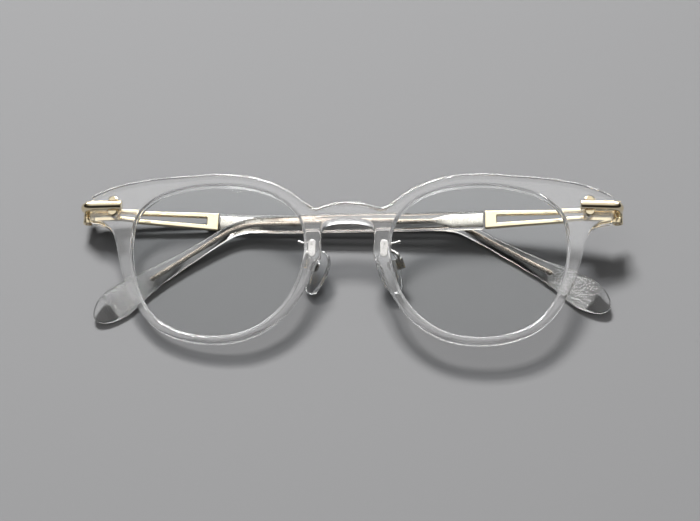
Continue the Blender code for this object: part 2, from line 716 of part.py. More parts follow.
def make_temple_metal(side, sign, hinge, materials):
    """The gold section: a tapering plate with a window, and the middle knuckle of the hinge."""
    outline = [Vector((GOLD_END, GOLD_END_HALF)), Vector((GOLD_ROOT_END, GOLD_START_HALF)),
               Vector((GOLD_START, GOLD_START_HALF)), Vector((GOLD_START, -GOLD_START_HALF)),
               Vector((GOLD_ROOT_END, -GOLD_START_HALF)), Vector((GOLD_END, -GOLD_END_HALF))]
    window = [Vector((WINDOW_END, WINDOW_END_HALF)), Vector((WINDOW_START, WINDOW_START_HALF)),
              Vector((WINDOW_START, -WINDOW_START_HALF)), Vector((WINDOW_END, -WINDOW_END_HALF))]
    profile = [(GOLD_EDGE, 0.0), (0.0, -GOLD_EDGE), (0.0, -GOLD_THICKNESS + GOLD_EDGE),
               (GOLD_EDGE, -GOLD_THICKNESS)]
    front = GOLD_THICKNESS / 2 - GOLD_OFFSET
    matrix = side_matrix(-sign)
    lift = Matrix.Translation((0.0, 0.0, front))
    plate = moved(plate_with_holes(outline, [window], profile, profile), matrix @ lift)
    item = mesh_object(f"{side}_temple_bar", plate, materials["gold"], hinge)
    knuckle = cylinder(KNUCKLE_RADIUS, Vector((0.0, -MIDDLE_KNUCKLE_HALF, 0.0)),
                       Vector((0.0, MIDDLE_KNUCKLE_HALF, 0.0)), 20)
    neck_half = MIDDLE_KNUCKLE_HALF - GOLD_EDGE / 2
    neck = block(Vector((0.0, -neck_half, front - GOLD_THICKNESS + GOLD_EDGE / 2)),
                 Vector((GOLD_START + GOLD_EDGE * 3, neck_half, front - GOLD_EDGE / 2)))
    bore = cylinder(HINGE_SCREW_RADIUS + FIT_GAP, Vector((0.0, -MIDDLE_KNUCKLE_HALF - OVERRUN, 0.0)),
                    Vector((0.0, MIDDLE_KNUCKLE_HALF + OVERRUN, 0.0)), 12)
    add_boolean(item, make_cutter(f"{side}_neck", moved(neck, matrix), hinge), "UNION")
    add_boolean(item, make_cutter(f"{side}_middle_knuckle", moved(knuckle, matrix), hinge), "UNION")
    add_boolean(item, make_cutter(f"{side}_middle_bore", moved(bore, matrix), hinge))
    return item


def make_temple_core(side, sign, hinge, materials):
    places = core_places(GOLD_END + FIT_GAP, CORE_END)
    rings = [section(frame, core_half_height(place), CORE_THICKNESS / 2, CORE_ROUND_SHARE, 1)
             for place, frame in zip(places, temple_frames(side, places))]
    core = moved(solid_from_rings(rings), side_matrix(-sign))
    return mesh_object(f"{side}_temple_core", core, materials["silver"], hinge)


def make_temple_arm(side, sign, hinge, materials):
    """The acetate: its skin runs from the tip to the gold section and back down the core's bore."""
    start = GOLD_END + FIT_GAP
    round_start = TEMPLE_LENGTH - TIP_ROUND_LENGTH
    places = even_steps(start, round_start, 30)
    tip_places = [round_start + TIP_ROUND_LENGTH * share for share in TIP_RING_SHARES]
    rings = []
    for distance, frame in zip(places + tip_places, temple_frames(side, places + tip_places)):
        past = max(distance - round_start, 0.0) / TIP_ROUND_LENGTH
        narrow = math.sqrt(1 - past ** 2)
        thin = 1 - TIP_THIN_SHARE * past ** 2
        point, along, height, inward = frame
        lowered = point - height * PADDLE_SAG * ramp(distance, CORE_END, round_start)
        rings.append(section((lowered, along, height, inward), arm_half_height(distance) * narrow,
                             ARM_THICKNESS / 2 * thin, ARM_ROUND_SHARE))
    bore_places = core_places(start, CORE_END + FIT_GAP)
    bore = [section(frame, core_half_height(place) + FIT_GAP, CORE_THICKNESS / 2 + FIT_GAP, CORE_ROUND_SHARE)
            for place, frame in zip(bore_places, temple_frames(side, bore_places))]
    arm = moved(solid_from_rings(rings[::-1] + bore), side_matrix(-sign))
    return mesh_object(f"{side}_temple_arm", arm, materials["clear_acetate"], hinge)


# Nose pads, drawn for the right side

def pad_frame(sign):
    """At the pad screw: X across the pad towards its front edge, Y up it, Z towards the nose."""
    return (Matrix.Translation((BOX_X + sign * PAD_LEAN, -BOX_Y, -BOX_BACK))
            @ Matrix.Rotation(math.pi + PAD_TURN, 4, "Y") @ Matrix.Rotation(-PAD_SPLAY, 4, "Z"))


def stadium(centre, half_width, half_height, steps=6):
    """A slot shape, anticlockwise."""
    loop = []
    for end, base in ((1, 0), (-1, 180)):
        for step in range(steps + 1):
            angle = math.radians(base + 180 * step / steps)
            loop.append(centre + Vector((half_width * math.cos(angle),
                                         end * (half_height - half_width) + half_width * math.sin(angle))))
    return loop


def foot_floor():
    return -FRONT_THICKNESS - wrap_depth(FOOT_X + FOOT_HALF_WIDTH) - FIT_GAP


def arm_path(sign):
    """The wire from the foot, back and out, and down to the box."""
    inside = foot_floor() - FOOT_THICKNESS / 2
    start = Vector((FOOT_X, FOOT_HALF_HEIGHT / 2 - FOOT_Y, inside))
    box_end = pad_frame(sign) @ Vector((0.0, BOX_HALF_HEIGHT / 2, -BOX_FLOOR - BOX_WALL / 2))
    box_lead = pad_frame(sign) @ Vector((0.0, BOX_HALF_HEIGHT * 1.6, -BOX_FLOOR - BOX_WALL * 1.2))
    middle = start.lerp(box_lead, 0.5)
    middle.z = box_lead.z - ARM_WIRE_RADIUS
    return open_curve([start, middle, box_lead, box_end], 4)


def pin_path():
    """A short pin out of the foot, beside the wire."""
    start = Vector((FOOT_X, FOOT_HALF_HEIGHT / 2 - FOOT_Y, foot_floor() - FOOT_THICKNESS / 2))
    return [start, start + Vector((PIN_REACH, PIN_RISE - FOOT_HALF_HEIGHT / 2, -PIN_BACK))]


def open_curve(points, steps):
    """A smooth curve through the points, from the first to the last."""
    doubled = [points[0] * 2 - points[1]] + list(points) + [points[-1] * 2 - points[-2]]
    curve = []
    for index in range(len(points) - 1):
        before, start, end, after = doubled[index:index + 4]
        lengths = [math.sqrt((b - a).length) for a, b in ((before, start), (start, end), (end, after))]
        leave = tangent(before, start, end, lengths[0], lengths[1]) * lengths[1]
        arrive = tangent(start, end, after, lengths[1], lengths[2]) * lengths[1]
        for step in range(steps):
            t = step / steps
            curve.append((2 * t ** 3 - 3 * t ** 2 + 1) * start + (t ** 3 - 2 * t ** 2 + t) * leave
                         + (3 * t ** 2 - 2 * t ** 3) * end + (t ** 3 - t ** 2) * arrive)
    return curve + [Vector(points[-1])]


def make_pad_arm(side, sign, parts, materials):
    """Foot, wire and box in one piece, as they are brazed together."""
    mirror = side_matrix(sign)
    foot_loop = stadium(Vector((FOOT_X, -FOOT_Y)), FOOT_HALF_WIDTH, FOOT_HALF_HEIGHT)
    foot = plate_with_holes(foot_loop, [], [(0.0, foot_floor()), (0.0, foot_floor() - FOOT_THICKNESS)], [])
    item = mesh_object(f"{side}_pad_arm", moved(foot, mirror), materials["silver"], parts)
    wire = make_cutter(f"{side}_pad_wire", moved(tube(arm_path(sign), ARM_WIRE_RADIUS, 8), mirror), parts)
    pin_start, pin_end = pin_path()
    pin = cylinder(PIN_RADIUS, pin_start, pin_end, 8)
    ball = bmesh.new()
    bmesh.ops.create_uvsphere(ball, u_segments=10, v_segments=6, radius=PIN_BALL_RADIUS)
    bmesh.ops.translate(ball, verts=ball.verts, vec=pin_end)
    matrix = mirror @ pad_frame(sign)
    box = block(Vector((-BOX_HALF_WIDTH, -BOX_HALF_HEIGHT, -BOX_FLOOR - BOX_WALL)),
                Vector((BOX_HALF_WIDTH, BOX_HALF_HEIGHT, BOX_TOP)))
    slot_half = LUG_THICKNESS / 2 + FIT_GAP
    slot = block(Vector((-slot_half, -BOX_HALF_HEIGHT - OVERRUN, -BOX_FLOOR)),
                 Vector((slot_half, BOX_HALF_HEIGHT + OVERRUN, BOX_TOP + OVERRUN)))
    bore = cylinder(PAD_SCREW_RADIUS + FIT_GAP, Vector((-BOX_HALF_WIDTH - OVERRUN, 0.0, 0.0)),
                    Vector((BOX_HALF_WIDTH + OVERRUN, 0.0, 0.0)), 10)
    add_boolean(item, wire, "UNION")
    add_boolean(item, make_cutter(f"{side}_pad_pin", moved(pin, mirror), parts), "UNION")
    add_boolean(item, make_cutter(f"{side}_pad_ball", moved(ball, mirror), parts), "UNION")
    add_boolean(item, make_cutter(f"{side}_pad_box", moved(box, matrix), parts), "UNION")
    add_boolean(item, make_cutter(f"{side}_pad_slot", moved(slot, matrix), parts))
    add_boolean(item, make_cutter(f"{side}_pad_bore", moved(bore, matrix), parts))
    return item


def make_pad_screw(side, sign, parts, materials):
    matrix = side_matrix(sign) @ pad_frame(sign)
    head_start = BOX_HALF_WIDTH + FIT_GAP
    head = cylinder(PAD_SCREW_HEAD, Vector((-head_start - PAD_SCREW_HEAD_HEIGHT, 0.0, 0.0)),
                    Vector((-head_start, 0.0, 0.0)), 12)
    item = mesh_object(f"{side}_pad_screw", moved(head, matrix), materials["silver"], parts)
    shank = cylinder(PAD_SCREW_RADIUS, Vector((-head_start - PAD_SCREW_HEAD_HEIGHT / 2, 0.0, 0.0)),
                     Vector((BOX_HALF_WIDTH, 0.0, 0.0)), 10)
    add_boolean(item, make_cutter(f"{side}_pad_shank", moved(shank, matrix), parts), "UNION")
    return item


def make_pad_mount(side, sign, swivel, materials):
    """The small metal mount in the back of the pad, with the lug that the screw holds."""
    mirror = side_matrix(sign)
    top = PAD_STAND - FIT_GAP
    lug = block(Vector((-LUG_THICKNESS / 2, -LUG_HALF_WIDTH, -LUG_DEPTH)),
                Vector((LUG_THICKNESS / 2, LUG_HALF_WIDTH, top - MOUNT_THICKNESS / 2)))
    item = mesh_object(f"{side}_pad_mount", moved(lug, mirror), materials["silver"], swivel)
    disc = cylinder(MOUNT_RADIUS, Vector((0.0, 0.0, top - MOUNT_THICKNESS)), Vector((0.0, 0.0, top)), 16)
    bore = cylinder(PAD_SCREW_RADIUS + FIT_GAP, Vector((-LUG_THICKNESS, 0.0, 0.0)),
                    Vector((LUG_THICKNESS, 0.0, 0.0)), 10)
    add_boolean(item, make_cutter(f"{side}_mount_disc", moved(disc, mirror), swivel), "UNION")
    add_boolean(item, make_cutter(f"{side}_lug_bore", moved(bore, mirror), swivel))
    return item


def make_nose_pad(side, sign, swivel, materials):
    """A soft teardrop, a little dished where it meets the nose."""
    outline = smooth_loop([Vector((PAD_HALF_WIDTH * x, PAD_HALF_LENGTH * y - PAD_SHIFT))
                           for x, y in PAD_SHARES[::-1]], 2)
    centre = Vector((0.0, -PAD_SHIFT))

    def ring(share, level, dish):
        return [Vector((centre.x + (point.x - centre.x) * share, centre.y + (point.y - centre.y) * share,
                        level - dish * (1 - share ** 2))) for point in outline]

    back = PAD_STAND
    face = PAD_STAND + PAD_THICKNESS
    inner_share = 1 - PAD_ROUND / PAD_HALF_WIDTH
    rings = [ring(0.45, back, 0.0), ring(inner_share, back, 0.0), ring(1.0, back + PAD_ROUND, 0.0),
             ring(1.0, face - PAD_ROUND, 0.0), ring(inner_share, face, 0.0), ring(0.75, face, PAD_DISH),
             ring(0.4, face, PAD_DISH)]
    pad = moved(solid_from_rings(rings), side_matrix(sign))
    return mesh_object(f"{side}_nose_pad", pad, materials["pad_silicone"], swivel)


# The whole pair

def make_empty(name, matrix, parent=None):
    empty = bpy.data.objects.new(name, None)
    bpy.context.scene.collection.objects.link(empty)
    empty.parent = parent
    empty.matrix_basis = matrix
    return empty


def mirrored_frame(matrix, sign):
    """The frame's mirror image, still right-handed: its own X is turned over too."""
    return side_matrix(sign) @ matrix @ side_matrix(sign)


def fold_matrix(side, sign):
    """A temple's frame at its hinge, folded: the temple's line runs towards the other side."""
    place = side_matrix(sign) @ hinge_place()
    splay = Matrix.Rotation(-sign * SPLAYS[side], 4, "Y")
    return Matrix.Translation(place) @ splay @ Matrix.Rotation(sign * TILTS[side], 4, "Z")


def make_glasses(materials):
    glasses = make_empty("glasses", Matrix())
    make_front(glasses, materials)
    for side, sign in SIDES.items():
        make_lens(side, sign, glasses, materials)
        make_hinge_bar(side, sign, glasses, materials)
        for level, word in ((1.0, "upper"), (-1.0, "lower")):
            make_rivet(side, sign, level, word, glasses, materials)
        make_hinge_plate(side, sign, glasses, materials)
        make_hinge_screw(side, sign, glasses, materials)
        make_pad_arm(side, sign, glasses, materials)
        make_pad_screw(side, sign, glasses, materials)
        swivel = make_empty(f"{side}_pad_swivel", mirrored_frame(pad_frame(sign), sign), glasses)
        make_pad_mount(side, sign, swivel, materials)
        make_nose_pad(side, sign, swivel, materials)
        hinge = make_empty(f"{side}_hinge", fold_matrix(side, sign), glasses)
        make_temple_metal(side, sign, hinge, materials)
        make_temple_core(side, sign, hinge, materials)
        make_temple_arm(side, sign, hinge, materials)
    return glasses


# Lying on the table

def shown_meshes():
    """Each piece's vertices in the world, with its weight and balance point."""
    bpy.context.view_layer.update()
    graph = bpy.context.evaluated_depsgraph_get()
    pieces = []
    for item in bpy.data.objects:
        if item.type != "MESH" or item.hide_render:
            continue
        mesh_data = bmesh.new()
        mesh_data.from_mesh(item.evaluated_get(graph).data)
        mesh_data.transform(item.matrix_world)
        bmesh.ops.triangulate(mesh_data, faces=mesh_data.faces)
        volume = 0.0
        moment = Vector()
        for face in mesh_data.faces:
            a, b, c = (vertex.co for vertex in face.verts)
            wedge = a.dot(b.cross(c)) / 6
            volume += wedge
            moment += wedge * (a + b + c) / 4
        weight = item.data.materials[0]["density"]
        pieces.append(([vertex.co.copy() for vertex in mesh_data.verts], weight * volume, weight * moment))
        mesh_data.free()
    return pieces


def resting_side(points, balance):
    """The downward face of the points' hull that lies under the balance point."""
    hull = bmesh.new()
    for point in points:
        hull.verts.new(point)
    result = bmesh.ops.convex_hull(hull, input=hull.verts)
    best = None
    for face in (item for item in result["geom"] if isinstance(item, bmesh.types.BMFace)):
        normal = face.normal.copy()
        if normal.dot(face.calc_center_median() - balance) < 0:
            normal.negate()
        corners = [vertex.co.copy() for vertex in face.verts]
        foot = balance + normal * normal.dot(corners[0] - balance)
        turns = [(after - here).cross(foot - here).dot(normal)
                 for here, after in zip(corners, corners[1:] + corners[:1])]
        if (min(turns) >= 0 or max(turns) <= 0) and (best is None or normal.z < best.z):
            best = normal
    hull.free()
    return best


def lay_on_table(glasses):
    """Turn the pair to its resting side, without turning it about the upright."""
    pieces = shown_meshes()
    points = [point for piece_points, _, _ in pieces for point in piece_points]
    mass = sum(weight for _, weight, _ in pieces)
    balance = sum((moment for _, _, moment in pieces), Vector()) / mass
    up = -resting_side(points, balance)
    across = (Vector((1, 0, 0)) - up * up.x).normalized()
    turn = Matrix((across, up.cross(across), up)).to_4x4()
    placed = [turn @ point for point in points]
    low = Vector(min(point[axis] for point in placed) for axis in range(3))
    high = Vector(max(point[axis] for point in placed) for axis in range(3))
    shift = Vector((-(low.x + high.x) / 2, -(low.y + high.y) / 2, -low.z))
    glasses.matrix_basis = Matrix.Translation(shift) @ turn
    bpy.context.view_layer.update()


def main():
    clear_scene()
    materials = make_materials()
    lay_on_table(make_glasses(materials))


main()
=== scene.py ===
# %% [markdown]
# # Clear reading glasses, folded on a table
#
# The pair has a clear acetate front, two coated lenses, gold hinges and gold temple sections,
# clear temple arms over a metal core, and two nose pads on thin metal arms. The solids were
# made and packed first. Here they get their looks: every piece is built again with fine round
# edges, because clear plastic shows every facet of a coarse mesh.

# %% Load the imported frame
import json
import math

import bmesh
import bpy
from mathutils import Matrix, Vector, kdtree

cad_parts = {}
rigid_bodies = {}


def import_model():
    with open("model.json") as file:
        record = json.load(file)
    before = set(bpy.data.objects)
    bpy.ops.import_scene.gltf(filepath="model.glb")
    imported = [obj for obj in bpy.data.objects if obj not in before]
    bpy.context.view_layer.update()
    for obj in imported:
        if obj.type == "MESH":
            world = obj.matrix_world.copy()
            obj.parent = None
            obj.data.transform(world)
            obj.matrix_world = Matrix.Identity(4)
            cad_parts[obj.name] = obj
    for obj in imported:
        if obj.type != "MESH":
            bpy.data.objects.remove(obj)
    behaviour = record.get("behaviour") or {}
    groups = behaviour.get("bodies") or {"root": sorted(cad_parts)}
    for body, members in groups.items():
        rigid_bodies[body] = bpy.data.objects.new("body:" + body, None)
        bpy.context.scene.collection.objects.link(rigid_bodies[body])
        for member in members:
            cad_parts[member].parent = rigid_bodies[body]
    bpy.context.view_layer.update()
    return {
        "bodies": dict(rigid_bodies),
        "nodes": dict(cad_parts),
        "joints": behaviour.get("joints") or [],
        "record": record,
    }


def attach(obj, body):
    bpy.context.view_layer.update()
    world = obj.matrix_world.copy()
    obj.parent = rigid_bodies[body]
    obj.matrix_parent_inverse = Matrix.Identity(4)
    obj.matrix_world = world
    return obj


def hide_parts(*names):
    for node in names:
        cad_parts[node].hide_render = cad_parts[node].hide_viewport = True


MM = 0.001
SIDES = {"left": -1.0, "right": 1.0}
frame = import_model()
joints = {joint["name"]: joint for joint in frame["joints"]}

# %% [markdown]
# ## The sizes that the whole pair follows
#
# An optician describes a frame by its lens width, the gap over the nose and the length of the
# temples. The same few sizes drive the pieces here. Shares are fractions of the size that
# they follow.

# %% Driving sizes
FIT_GAP = 0.3 * MM
LENS_WIDTH = 46.5 * MM
LENS_HEIGHT = 41.8 * MM
NOSE_GAP = 23.0 * MM
LENS_TOP = 5.5 * MM
LENS_DROP = LENS_HEIGHT / 2 - LENS_TOP
FRONT_THICKNESS = 3.4 * MM
FACE_RADIUS = 900.0 * MM
END_REACH = 12.7 * MM
END_X = NOSE_GAP / 2 + LENS_WIDTH + END_REACH
HINGE_X = END_X + 1.6 * MM
HINGE_BACK = 1.75 * MM
HINGE_DROP = 0.35 * MM
BAR_LENGTH = 9.15 * MM
TEMPLE_LENGTH = 149.6 * MM
SPLAYS = {"left": math.radians(8.8), "right": math.radians(5.5)}
TILT = math.radians(0.7)

# %% [markdown]
# ## Where the pieces lie
#
# The folded pair lies a little askew on its temples. Nothing here is placed by eye: the two
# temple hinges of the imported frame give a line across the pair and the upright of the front,
# and from them comes the matrix that takes the front's own drawing to its place on the table.


# %% The frames of the front and the hinges
def wrap_depth(x):
    """How far the front's face lies behind its middle at a distance x from it."""
    return x * x / (2 * FACE_RADIUS)


def end_frame():
    """The frame of the right end piece: its origin is on the face over the hinge line."""
    x = END_X - BAR_LENGTH / 2
    turn = Matrix.Rotation(x / FACE_RADIUS, 4, "Y")
    return Matrix.Translation((x, 0.0, -wrap_depth(x))) @ turn @ Matrix.Translation((-x, 0.0, 0.0))


def hinge_height():
    return -FRONT_THICKNESS - HINGE_BACK


def hinge_frame():
    return end_frame() @ Matrix.Translation((0.0, -HINGE_DROP, 0.0))


def front_place():
    """The matrix of the front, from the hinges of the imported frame."""
    left, right = (Vector(joints[f"{side}_temple_hinge"]["pos_m"]) for side in SIDES)
    upward = Vector(joints["left_temple_hinge"]["axis"]).normalized()
    across = right - left
    across = (across - upward * across.dot(upward)).normalized()
    outward = across.cross(upward)
    hinge = hinge_frame() @ Vector((HINGE_X, 0.0, hinge_height()))
    matrix = Matrix((across, upward, outward)).transposed().to_4x4()
    matrix.translation = (left + right) / 2 - upward * hinge.y - outward * hinge.z
    return matrix


def side_matrix(sign):
    """The mirror that takes the drawing of the right side (1) to the left side (-1)."""
    return Matrix.Diagonal((sign, 1.0, 1.0, 1.0))


def temple_place(side, sign):
    """The matrix that takes a temple's drawing, along X, to its folded place at its hinge."""
    place = side_matrix(sign) @ hinge_frame() @ Vector((HINGE_X, 0.0, hinge_height()))
    splay = Matrix.Rotation(-sign * SPLAYS[side], 4, "Y")
    turned = FRONT @ Matrix.Translation(place) @ splay @ Matrix.Rotation(sign * TILT, 4, "Z")
    return turned @ side_matrix(-sign)


FRONT = front_place()
for side, sign in SIDES.items():
    hinge = FRONT @ side_matrix(sign) @ hinge_frame() @ Vector((HINGE_X, 0.0, hinge_height()))
    off = (hinge - Vector(joints[f"{side}_temple_hinge"]["pos_m"])).length / MM
    print(f"{side} hinge is {off:.3f} mm from the frame's")

# %% [markdown]
# ## The camera
#
# The photograph looks down at the pair from in front of its lower rims. The camera is placed
# from the front: a distance, how far it is turned and raised, and how far it is slid sideways
# and down. The focal length follows from how many pixels a millimetre covers in the picture.

# %% The camera
VIEW_DISTANCE = 400.0 * MM
VIEW_YAW = math.radians(4.0)
VIEW_PITCH = math.radians(18.0)
VIEW_ROLL = math.radians(0.1)
VIEW_SLIDE = Vector((0.5, -15.38)) * MM
PIXELS_PER_MM = 3.75
PICTURE_WIDTH = 700
SENSOR_MM = 36.0
CLIP_RANGE = (0.01, 10.0)


def make_camera():
    """The camera, placed from the front's own middle and then moved with the front."""
    back = Vector((math.sin(VIEW_YAW), -math.sin(VIEW_PITCH) * math.cos(VIEW_YAW),
                   math.cos(VIEW_PITCH) * math.cos(VIEW_YAW)))
    across = (Vector((1.0, 0.0, 0.0)) - back * back.x).normalized()
    upward = back.cross(across)
    right = across * math.cos(VIEW_ROLL) + upward * math.sin(VIEW_ROLL)
    top = upward * math.cos(VIEW_ROLL) - across * math.sin(VIEW_ROLL)
    matrix = Matrix((right, top, back)).transposed().to_4x4()
    matrix.translation = back * VIEW_DISTANCE + right * VIEW_SLIDE.x + top * VIEW_SLIDE.y
    data = bpy.data.cameras.new("photo_view")
    data.sensor_width = SENSOR_MM
    data.lens = PIXELS_PER_MM * VIEW_DISTANCE / MM * SENSOR_MM / PICTURE_WIDTH
    data.clip_start, data.clip_end = CLIP_RANGE
    camera = bpy.data.objects.new("photo_view", data)
    bpy.context.scene.collection.objects.link(camera)
    camera.matrix_world = FRONT @ matrix
    bpy.context.scene.camera = camera
    return camera


camera = make_camera()
bpy.context.view_layer.update()
height = camera.matrix_world.translation.z
down = math.degrees(math.asin(camera.matrix_world.to_3x3().col[2].z))
print(f"camera {height:.3f} m over the table, looking down by {down:.1f} degrees")

# %% [markdown]
# ## The table and the light
#
# Clear plastic has no colour of its own. It shows as thin bright and dark lines, where its
# edges bend and mirror what is round them. So each light has one job. A large soft box
# overhead lights everything evenly and is kept out of reflections. A smaller lamp behind the
# pair throws its shadows forward. A long low strip farther back lights no table: it is only
# there to be mirrored, and draws the bright edges. It is low, so that the flat faces don't
# mirror it into a view from the front.
#
# The room has three parts for the same reason. A dim even one lights the table, a pale one
# stands behind the table, and gloss and clear pieces see one that is bright overhead and
# behind and dark in front. The table is plain and matt.

# %% The table and the light
TABLE_SIZE = 4.0
TABLE_COLOUR = (0.32, 0.32, 0.325)
TABLE_ROUGHNESS = 0.9
ROOM_COLOUR = (1.0, 0.99, 0.975, 1.0)
ROOM_STRENGTH = 0.10
PALE_STRENGTH = 0.9
BRIGHT_SIDE = (0.0, 0.45, 0.89)
SEEN_ROOM = {"From Min": 0.45, "From Max": 0.92, "To Min": 0.02, "To Max": 0.9}
TOP_LAMP = {"place": (-0.1, 0.1, 1.0), "size": (0.9, 0.9), "watts": 1.6}
BACK_LAMP = {"place": (-0.16, 0.52, 0.90), "size": (0.28, 0.18), "watts": 12.5}
EDGE_LAMP = {"place": (0.0, 1.25, 0.36), "size": (2.2, 0.5), "watts": 60.0}


def make_table():
    """A flat square under the pair."""
    mesh_data = bmesh.new()
    bmesh.ops.create_grid(mesh_data, x_segments=1, y_segments=1, size=TABLE_SIZE / 2)
    mesh = bpy.data.meshes.new("table_top")
    mesh_data.to_mesh(mesh)
    mesh_data.free()
    material = bpy.data.materials.new("table_paint")
    material.use_nodes = True
    shader = material.node_tree.nodes["Principled BSDF"]
    shader.inputs["Base Color"].default_value = (*TABLE_COLOUR, 1.0)
    shader.inputs["Roughness"].default_value = TABLE_ROUGHNESS
    shader.inputs["Specular IOR Level"].default_value = 0.0
    mesh.materials.append(material)
    table = bpy.data.objects.new("table_top", mesh)
    bpy.context.scene.collection.objects.link(table)


def make_lamp(name, place, size, watts):
    """A rectangular soft box that faces the middle of the pair."""
    data = bpy.data.lights.new(name, "AREA")
    data.shape = "RECTANGLE"
    data.size, data.size_y = size
    data.energy = watts
    lamp = bpy.data.objects.new(name, data)
    bpy.context.scene.collection.objects.link(lamp)
    lamp.location = place
    lamp.rotation_euler = Vector(place).to_track_quat("Z", "Y").to_euler()
    return lamp


def room_gradient(tree):
    """How bright gloss sees the room in each direction: bright overhead and behind, dark in front."""
    way = tree.nodes.new("ShaderNodeTexCoord")
    across = tree.nodes.new("ShaderNodeVectorMath")
    across.operation = "DOT_PRODUCT"
    across.inputs[1].default_value = BRIGHT_SIDE
    tree.links.new(way.outputs["Generated"], across.inputs[0])
    shade = tree.nodes.new("ShaderNodeMapRange")
    for name, value in SEEN_ROOM.items():
        shade.inputs[name].default_value = value
    tree.links.new(across.outputs["Value"], shade.inputs["Value"])
    return shade.outputs["Result"]


def light_room():
    """A dim even room for the table, a pale one behind it, and a graded one for the mirrors."""
    world = bpy.data.worlds.new("room")
    world.use_nodes = True
    tree = world.node_tree
    dim = tree.nodes["Background"]
    pale, graded = (tree.nodes.new("ShaderNodeBackground") for _ in range(2))
    for room, strength in ((dim, ROOM_STRENGTH), (pale, PALE_STRENGTH), (graded, 1.0)):
        room.inputs["Color"].default_value = ROOM_COLOUR
        room.inputs["Strength"].default_value = strength
    tree.links.new(room_gradient(tree), graded.inputs["Strength"])
    path = tree.nodes.new("ShaderNodeLightPath")
    surface = dim.outputs["Background"]
    for ray, room in (("Is Camera Ray", pale), ("Is Glossy Ray", graded), ("Is Transmission Ray", graded)):
        mix = tree.nodes.new("ShaderNodeMixShader")
        tree.links.new(path.outputs[ray], mix.inputs["Fac"])
        tree.links.new(surface, mix.inputs[1])
        tree.links.new(room.outputs["Background"], mix.inputs[2])
        surface = mix.outputs["Shader"]
    tree.links.new(surface, tree.nodes["World Output"].inputs["Surface"])
    bpy.context.scene.world = world
    bpy.context.scene.view_settings.view_transform = "Standard"


make_table()
make_lamp("top_lamp", **TOP_LAMP).visible_glossy = False
make_lamp("back_lamp", **BACK_LAMP)
make_lamp("edge_lamp", **EDGE_LAMP).visible_diffuse = False
light_room()

# %% [markdown]
# ## Finishes
#
# Each finish is a small node tree. Clear pieces use one trick: a ray that goes to a lamp
# passes straight through them. Without it the renderer, which doesn't follow light bent by
# glass to the table, would give clear plastic the shadow of a solid block.


# %% Node helpers
def add_node(tree, kind, settings=None, **inputs):
    """A node with its properties and plain input values set by name."""
    node = tree.nodes.new(kind)
    for name, value in (settings or {}).items():
        setattr(node, name, value)
    for name, value in inputs.items():
        node.inputs[name.replace("_", " ")].default_value = value
    return node


def new_material(name):
    """A material with its node tree, its shader and its output."""
    material = bpy.data.materials.new(name)
    material.use_nodes = True
    tree = material.node_tree
    return material, tree, tree.nodes["Principled BSDF"], tree.nodes["Material Output"]


def noise_on(tree, scale, detail=3.0, roughness=0.5):
    """Noise on the object's own coordinates, in cycles per metre."""
    place = add_node(tree, "ShaderNodeTexCoord")
    noise = add_node(tree, "ShaderNodeTexNoise", Scale=scale, Detail=detail, Roughness=roughness)
    tree.links.new(place.outputs["Object"], noise.inputs["Vector"])
    return noise.outputs["Fac"]


def spread(tree, value, low, high):
    """A noise value, most of which lies between 0.3 and 0.7, stretched over a range."""
    node = add_node(tree, "ShaderNodeMapRange", To_Min=low, To_Max=high, From_Min=0.3, From_Max=0.7)
    tree.links.new(value, node.inputs["Value"])
    return node.outputs["Result"]


def add_bump(tree, shader, value, depth, strength=1.0):
    """Small hollows and rises in the shading: their depth, and how strongly they show."""
    bump = add_node(tree, "ShaderNodeBump", Strength=strength, Distance=depth)
    tree.links.new(value, bump.inputs["Height"])
    tree.links.new(bump.outputs["Normal"], shader.inputs["Normal"])


GRAZING_BLEND = 0.35


def clear_material(name, tint, index, clearness):
    """A clear material: its tint, its refractive index and how much light it lets in."""
    material, tree, shader, output = new_material(name)
    shader.inputs["Base Color"].default_value = (*tint, 1.0)
    shader.inputs["IOR"].default_value = index
    shader.inputs["Transmission Weight"].default_value = clearness
    return material, tree, shader, output


def let_lamps_through(tree, shader, output, middle, edge):
    """Light on its way to the table passes straight through, dimmed most where it grazes."""
    path = add_node(tree, "ShaderNodeLightPath")
    facing = add_node(tree, "ShaderNodeLayerWeight", Blend=GRAZING_BLEND)
    dimming = add_node(tree, "ShaderNodeMix", {"data_type": "RGBA"})
    dimming.inputs["A"].default_value = (*middle, 1.0)
    dimming.inputs["B"].default_value = (*edge, 1.0)
    tree.links.new(facing.outputs["Facing"], dimming.inputs["Factor"])
    clear = add_node(tree, "ShaderNodeBsdfTransparent")
    tree.links.new(dimming.outputs["Result"], clear.inputs["Color"])
    surface = shader.outputs["BSDF"]
    for ray in ("Is Diffuse Ray", "Is Shadow Ray"):
        mix = add_node(tree, "ShaderNodeMixShader")
        tree.links.new(path.outputs[ray], mix.inputs["Fac"])
        tree.links.new(surface, mix.inputs[1])
        tree.links.new(clear.outputs["BSDF"], mix.inputs[2])
        surface = mix.outputs["Shader"]
    tree.links.new(surface, output.inputs["Surface"])


# %% [markdown]
# ### Clear acetate
#
# Acetate sheet is cut, tumbled for days and polished, so it is glassy but not optically flat:
# reflections waver a little. Its refractive index is close to that of window glass. The
# paddles of the temples are grained, so that they hold behind the ear: there the surface is a
# little rough, and covered in bumps less than a millimetre across. A shade is the share of
# light that passes on to the table, in the middle of a piece and at its grazing edge.


